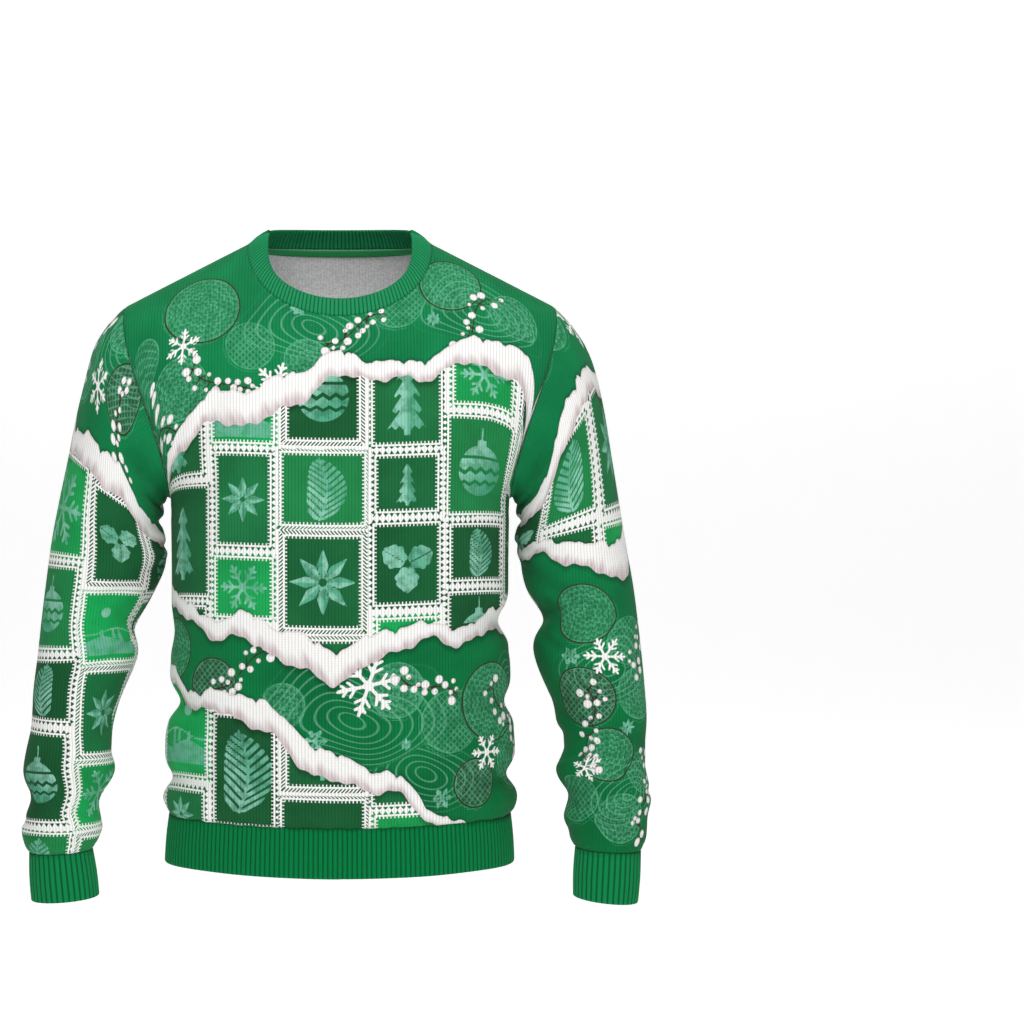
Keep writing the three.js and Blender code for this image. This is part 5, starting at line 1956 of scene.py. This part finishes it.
@dataclass
class HemBand:
    """The hem: rib knit straight down from the hem seam, a little wider at the fold."""

    height: float = 52.5
    flare: float = 4.5
    band: RibBand = field(
        default_factory=lambda: RibBand("hem_rib_knit", "hem_rib", 190, 0.9, 2.6, 0.8)
    )

    def build(self, material: Material) -> Object:
        """Builds the band round the lowest section of the body, with even ribs."""
        turn = np.linspace(0, 2 * math.pi, 4001)[:-1]
        in_front = np.cos(turn) >= 0
        level = np.float64(BODY.hem_seam_z)
        across = np.abs(np.sin(turn))
        depth = np.where(in_front, BODY.depth[Side.FRONT](level), BODY.depth[Side.BACK](level))
        x = float(BODY.half_width(level)) * np.sin(turn)
        y = np.where(in_front, -1, 1) * depth * oval_height(across, BODY.body_roundness)
        ring = np.stack([x, y, BODY.hem_seam_z - SEAM_GAP + BODY.hem_lift(across)], -1)
        even, seam = spread_evenly(ring, self.band.count, (ring,))
        along = unit(round_steps(seam, 0))
        out = unit(np.stack([along[:, 1], -along[:, 0], 0 * along[:, 0]], -1))
        out = out * np.sign(np.sum(out * seam, axis=1, keepdims=True))
        wave = wander(even, 9, ((210, 1.0), (97, 0.6)))[:, None]
        drop = np.array([0, 0, self.height - SEAM_GAP - self.band.wall / 2])
        end = seam + out * (self.flare + wave) - drop
        return self.band.build(seam, end, out, out, self.height, material, flip=False)


@dataclass
class Cuff:
    """One cuff: a tube of rib knit from the sleeve's end ring to its fold."""

    name: str
    form: SleeveForm
    ribs: int = 36
    width: float = 56.0

    def ring(self, section: SleeveSection, angle: Array) -> tuple[Array, Array]:
        """Points and outward directions of a flat oval ring."""
        side = self.form.side
        outer = np.array([side * section.outer_x, -section.forward, section.outer_z])
        inner = np.array([side * section.inner_x, -section.forward, section.inner_z])
        middle, across = (outer + inner) / 2, unit(outer - inner)
        half = np.linalg.norm(outer - inner) / 2
        c, s = np.cos(angle)[:, None], np.sin(angle)[:, None]
        depth_way = np.array([0, -1.0, 0])
        points = middle + across * half * c + depth_way * section.depth * s
        return points, unit(across * c / half + depth_way * s / section.depth)

    def build(self, material: Material) -> Object:
        """Builds the cuff as a rib band between its two rings."""
        band = RibBand(f"{self.name}_knit", self.name, self.ribs, 1.0, 2.6, 0.9, points_per_rib=8)
        angle = np.arange(band.count) * 2 * math.pi / band.count
        seam, normal = self.ring(self.form.sections[-1], angle)
        end, end_normal = self.ring(self.form.cuff_end, angle)
        way = unit(end - seam)
        return band.build(
            seam + way * SEAM_GAP, end - way * band.wall / 2, normal, end_normal, self.width,
            material, flip=self.form.side < 0,
        )


@dataclass
class NeckTape:
    """The tape that covers the back neck seam inside, a narrow strip under the neckline."""

    width: float = 10.0
    thickness: float = 1.0
    clearance: float = 0.4
    below_edge: float = 0.4
    reach: float = 0.43
    columns: int = 160
    rows: int = 8

    def build(self, material: Material) -> Object:
        """Builds the tape from the back panel's own form, moved in through its wall."""
        u = np.linspace(-self.reach, self.reach, self.columns + 1)
        depths = np.linspace(self.below_edge, self.width, self.rows + 1)
        grid_u, grid_row = np.meshgrid(u, np.linspace(BODY.last_row - 3, BODY.last_row, 61))
        points = BODY.panel(Side.BACK, grid_u, grid_row)
        normals = unit(np.cross(np.gradient(points, axis=1), np.gradient(points, axis=0)) * -1)
        climbed = running_length(points, 0)
        below = climbed[-1:] - climbed
        place, facing = np.zeros((self.rows + 1, len(u), 3)), np.zeros((self.rows + 1, len(u), 3))
        for column in range(len(u)):
            order = below[::-1, column]
            for axis in range(3):
                place[:, column, axis] = np.interp(depths, order, points[::-1, column, axis])
                facing[:, column, axis] = np.interp(depths, order, normals[::-1, column, axis])
        facing = unit(facing)
        outer = place - facing * (CLOTH_WALL + self.clearance)
        shell = GridShell(outer, facing, self.thickness, 2, False, 1)
        s, t = running_length(outer, 1), running_length(outer, 0)
        obj = shell.make("neck_tape_cloth", s, t, {}, [material])
        hang_cloth(obj, "neck_tape", np.ptp(s), self.width, shell.area())
        return obj


# Studio


@dataclass(frozen=True)
class Lamp:
    """A soft square light, pointed at aim: its place, size and aim in metres, and its watts."""

    name: str
    place: tuple[float, float, float]
    size: float
    power: float
    aim: tuple[float, float, float]

    def build(self) -> None:
        """Makes the light."""
        data = bpy.data.lights.new(self.name, "AREA")
        data.shape, data.size, data.energy = "SQUARE", self.size, self.power
        lamp = bpy.data.objects.new(self.name, data)
        lamp.location = self.place
        way = Vector(self.aim) - Vector(self.place)
        lamp.rotation_euler = way.to_track_quat("-Z", "Y").to_euler()
        bpy.context.scene.collection.objects.link(lamp)


@dataclass(frozen=True)
class Studio:
    """Pale floor that curves up into a backdrop, soft lights, and the camera in front.

    The camera stands level in front of the sweater. One pixel of the square frame is pixel_mm of
    the side seams' plane, and the shift puts the neck point where the photograph has it.
    """

    pixel_mm: float = 1.115
    frame_px: int = 1024
    neck_point_px: tuple[float, float] = (340.0, 245.0)
    distance_mm: float = 2100.0
    eye_z_mm: float = -340.0
    sensor_mm: float = 36.0
    floor_z_mm: float = -1150.0
    backdrop_y_mm: float = 7000.0
    backdrop_radius_mm: float = 2500.0
    backdrop_reach_mm: float = 9000.0
    white: str = "#FFFFFF"
    paper: str = "#FBFBFB"
    lamps: tuple[Lamp, ...] = (
        Lamp("key", (-0.2, -1.55, 1.25), 1.1, 34, (0, 0, -0.3)),
        Lamp("fill", (1.6, -2.3, -0.3), 1.6, 13.5, (0, 0, -0.35)),
        Lamp("top", (0, 0, 1.7), 1.3, 14, (0, 0, -0.1)),
    )

    def camera(self) -> None:
        """Makes the camera."""
        data = bpy.data.cameras.new("camera")
        data.sensor_width = self.sensor_mm
        data.lens = self.sensor_mm * self.distance_mm / (self.frame_px * self.pixel_mm)
        axis_y = self.neck_point_px[1] - self.eye_z_mm / self.pixel_mm
        data.shift_x = 0.5 - self.neck_point_px[0] / self.frame_px
        data.shift_y = axis_y / self.frame_px - 0.5
        data.clip_start, data.clip_end = 0.05, 40.0
        camera = bpy.data.objects.new("camera", data)
        camera.location = Vector((0, -self.distance_mm, self.eye_z_mm)) * METRES
        camera.rotation_euler = (math.pi / 2, 0, 0)
        bpy.context.scene.collection.objects.link(camera)
        bpy.context.scene.camera = camera

    def backdrop(self) -> None:
        """Makes the floor and backdrop: a flat sheet with a quarter circle between."""
        turn = np.linspace(0, math.pi / 2, 24)
        radius, behind, reach = self.backdrop_radius_mm, self.backdrop_y_mm, self.backdrop_reach_mm
        floor_y = np.concatenate([[-reach], behind - radius + radius * np.sin(turn), [behind]])
        floor_z = np.concatenate([[0.0], radius - radius * np.cos(turn), [reach]]) + self.floor_z_mm
        x = np.array([-reach, reach])
        points = np.stack(
            np.broadcast_arrays(x[None, :], floor_y[:, None], floor_z[:, None]), -1
        ).reshape(-1, 3)
        numbers = np.arange(len(points)).reshape(-1, 2)
        quads = np.stack([numbers[:-1, 0], numbers[:-1, 1], numbers[1:, 1], numbers[1:, 0]], -1)
        material, tree = new_material("matte_white_paper")
        shader = add_node(
            tree, "ShaderNodeBsdfPrincipled", Base_Color=linear(self.paper), Roughness=1.0,
            Emission_Color=linear(self.white), Emission_Strength=0.6,
        )
        add_node(tree, "ShaderNodeOutputMaterial", Surface=shader)
        obj = make_object("backdrop", points, quads, NO_FACES, points[:, :2], {}, [material])

    def world(self) -> None:
        """Makes the world: dim light from all round, seen as white from any side."""
        world = bpy.data.worlds.new("studio")
        bpy.context.scene.world = world
        world.use_nodes = True
        world.node_tree.nodes.clear()
        node = partial(add_node, world.node_tree)
        light, seen = (
            node("ShaderNodeBackground", Color=linear(self.white), Strength=s) for s in (0.13, 1.0)
        )
        is_seen = node("ShaderNodeLightPath").node.outputs["Is Camera Ray"]
        both = node("ShaderNodeMixShader", is_seen, light, seen)
        node("ShaderNodeOutputWorld", Surface=both)

    def build(self) -> None:
        """Makes the whole studio."""
        self.camera()
        self.backdrop()
        self.world()
        for lamp in self.lamps:
            lamp.build()
        bpy.context.scene.view_settings.view_transform = "Standard"


def report(obj: Object) -> None:
    """Logs a piece's name and its number of triangles."""
    faces = np.zeros(len(obj.data.polygons), np.int32)
    obj.data.polygons.foreach_get("loop_total", faces)
    LOG.info("%s: %d triangles", obj.name, int((faces - 2).sum()))


def main() -> None:
    """Builds the studio and every piece of the sweater, and reports each piece."""
    logging.basicConfig(level=logging.INFO, format="%(message)s")
    Studio().build()
    knit = JerseyKnit()
    cloth = [PrintedJersey().make(knit), JerseyReverse().make(knit)]
    # The three rib greens carry painted light: the neck's is lighter, as if lit from the top, and the
    # hem's darker than the cuffs'.
    hem_cloth = RibKnit("hem_rib_polyester", "#00773F").make()
    neck_cloth = RibKnit("neck_rib_polyester", "#1C8654").make()
    cuff_cloth = RibKnit("cuff_rib_polyester", "#0A8048").make()
    pieces = [
        Panel(Side.FRONT, FRONT_PRINT).build(cloth),
        Panel(Side.BACK, BACK_PRINT).build(cloth),
        Sleeve("left_sleeve", LEFT_FORM, LEFT_SLEEVE_PRINT).build(cloth),
        Sleeve("right_sleeve", RIGHT_FORM, RIGHT_SLEEVE_PRINT).build(cloth),
        NeckBand().build(neck_cloth),
        NeckTape().build(TwillTape().make()),
        HemBand().build(hem_cloth),
        Cuff("left_cuff_rib", LEFT_FORM).build(cuff_cloth),
        Cuff("right_cuff_rib", RIGHT_FORM).build(cuff_cloth),
    ]
    for piece in pieces:
        report(piece)


if __name__ == "__main__":
    main()
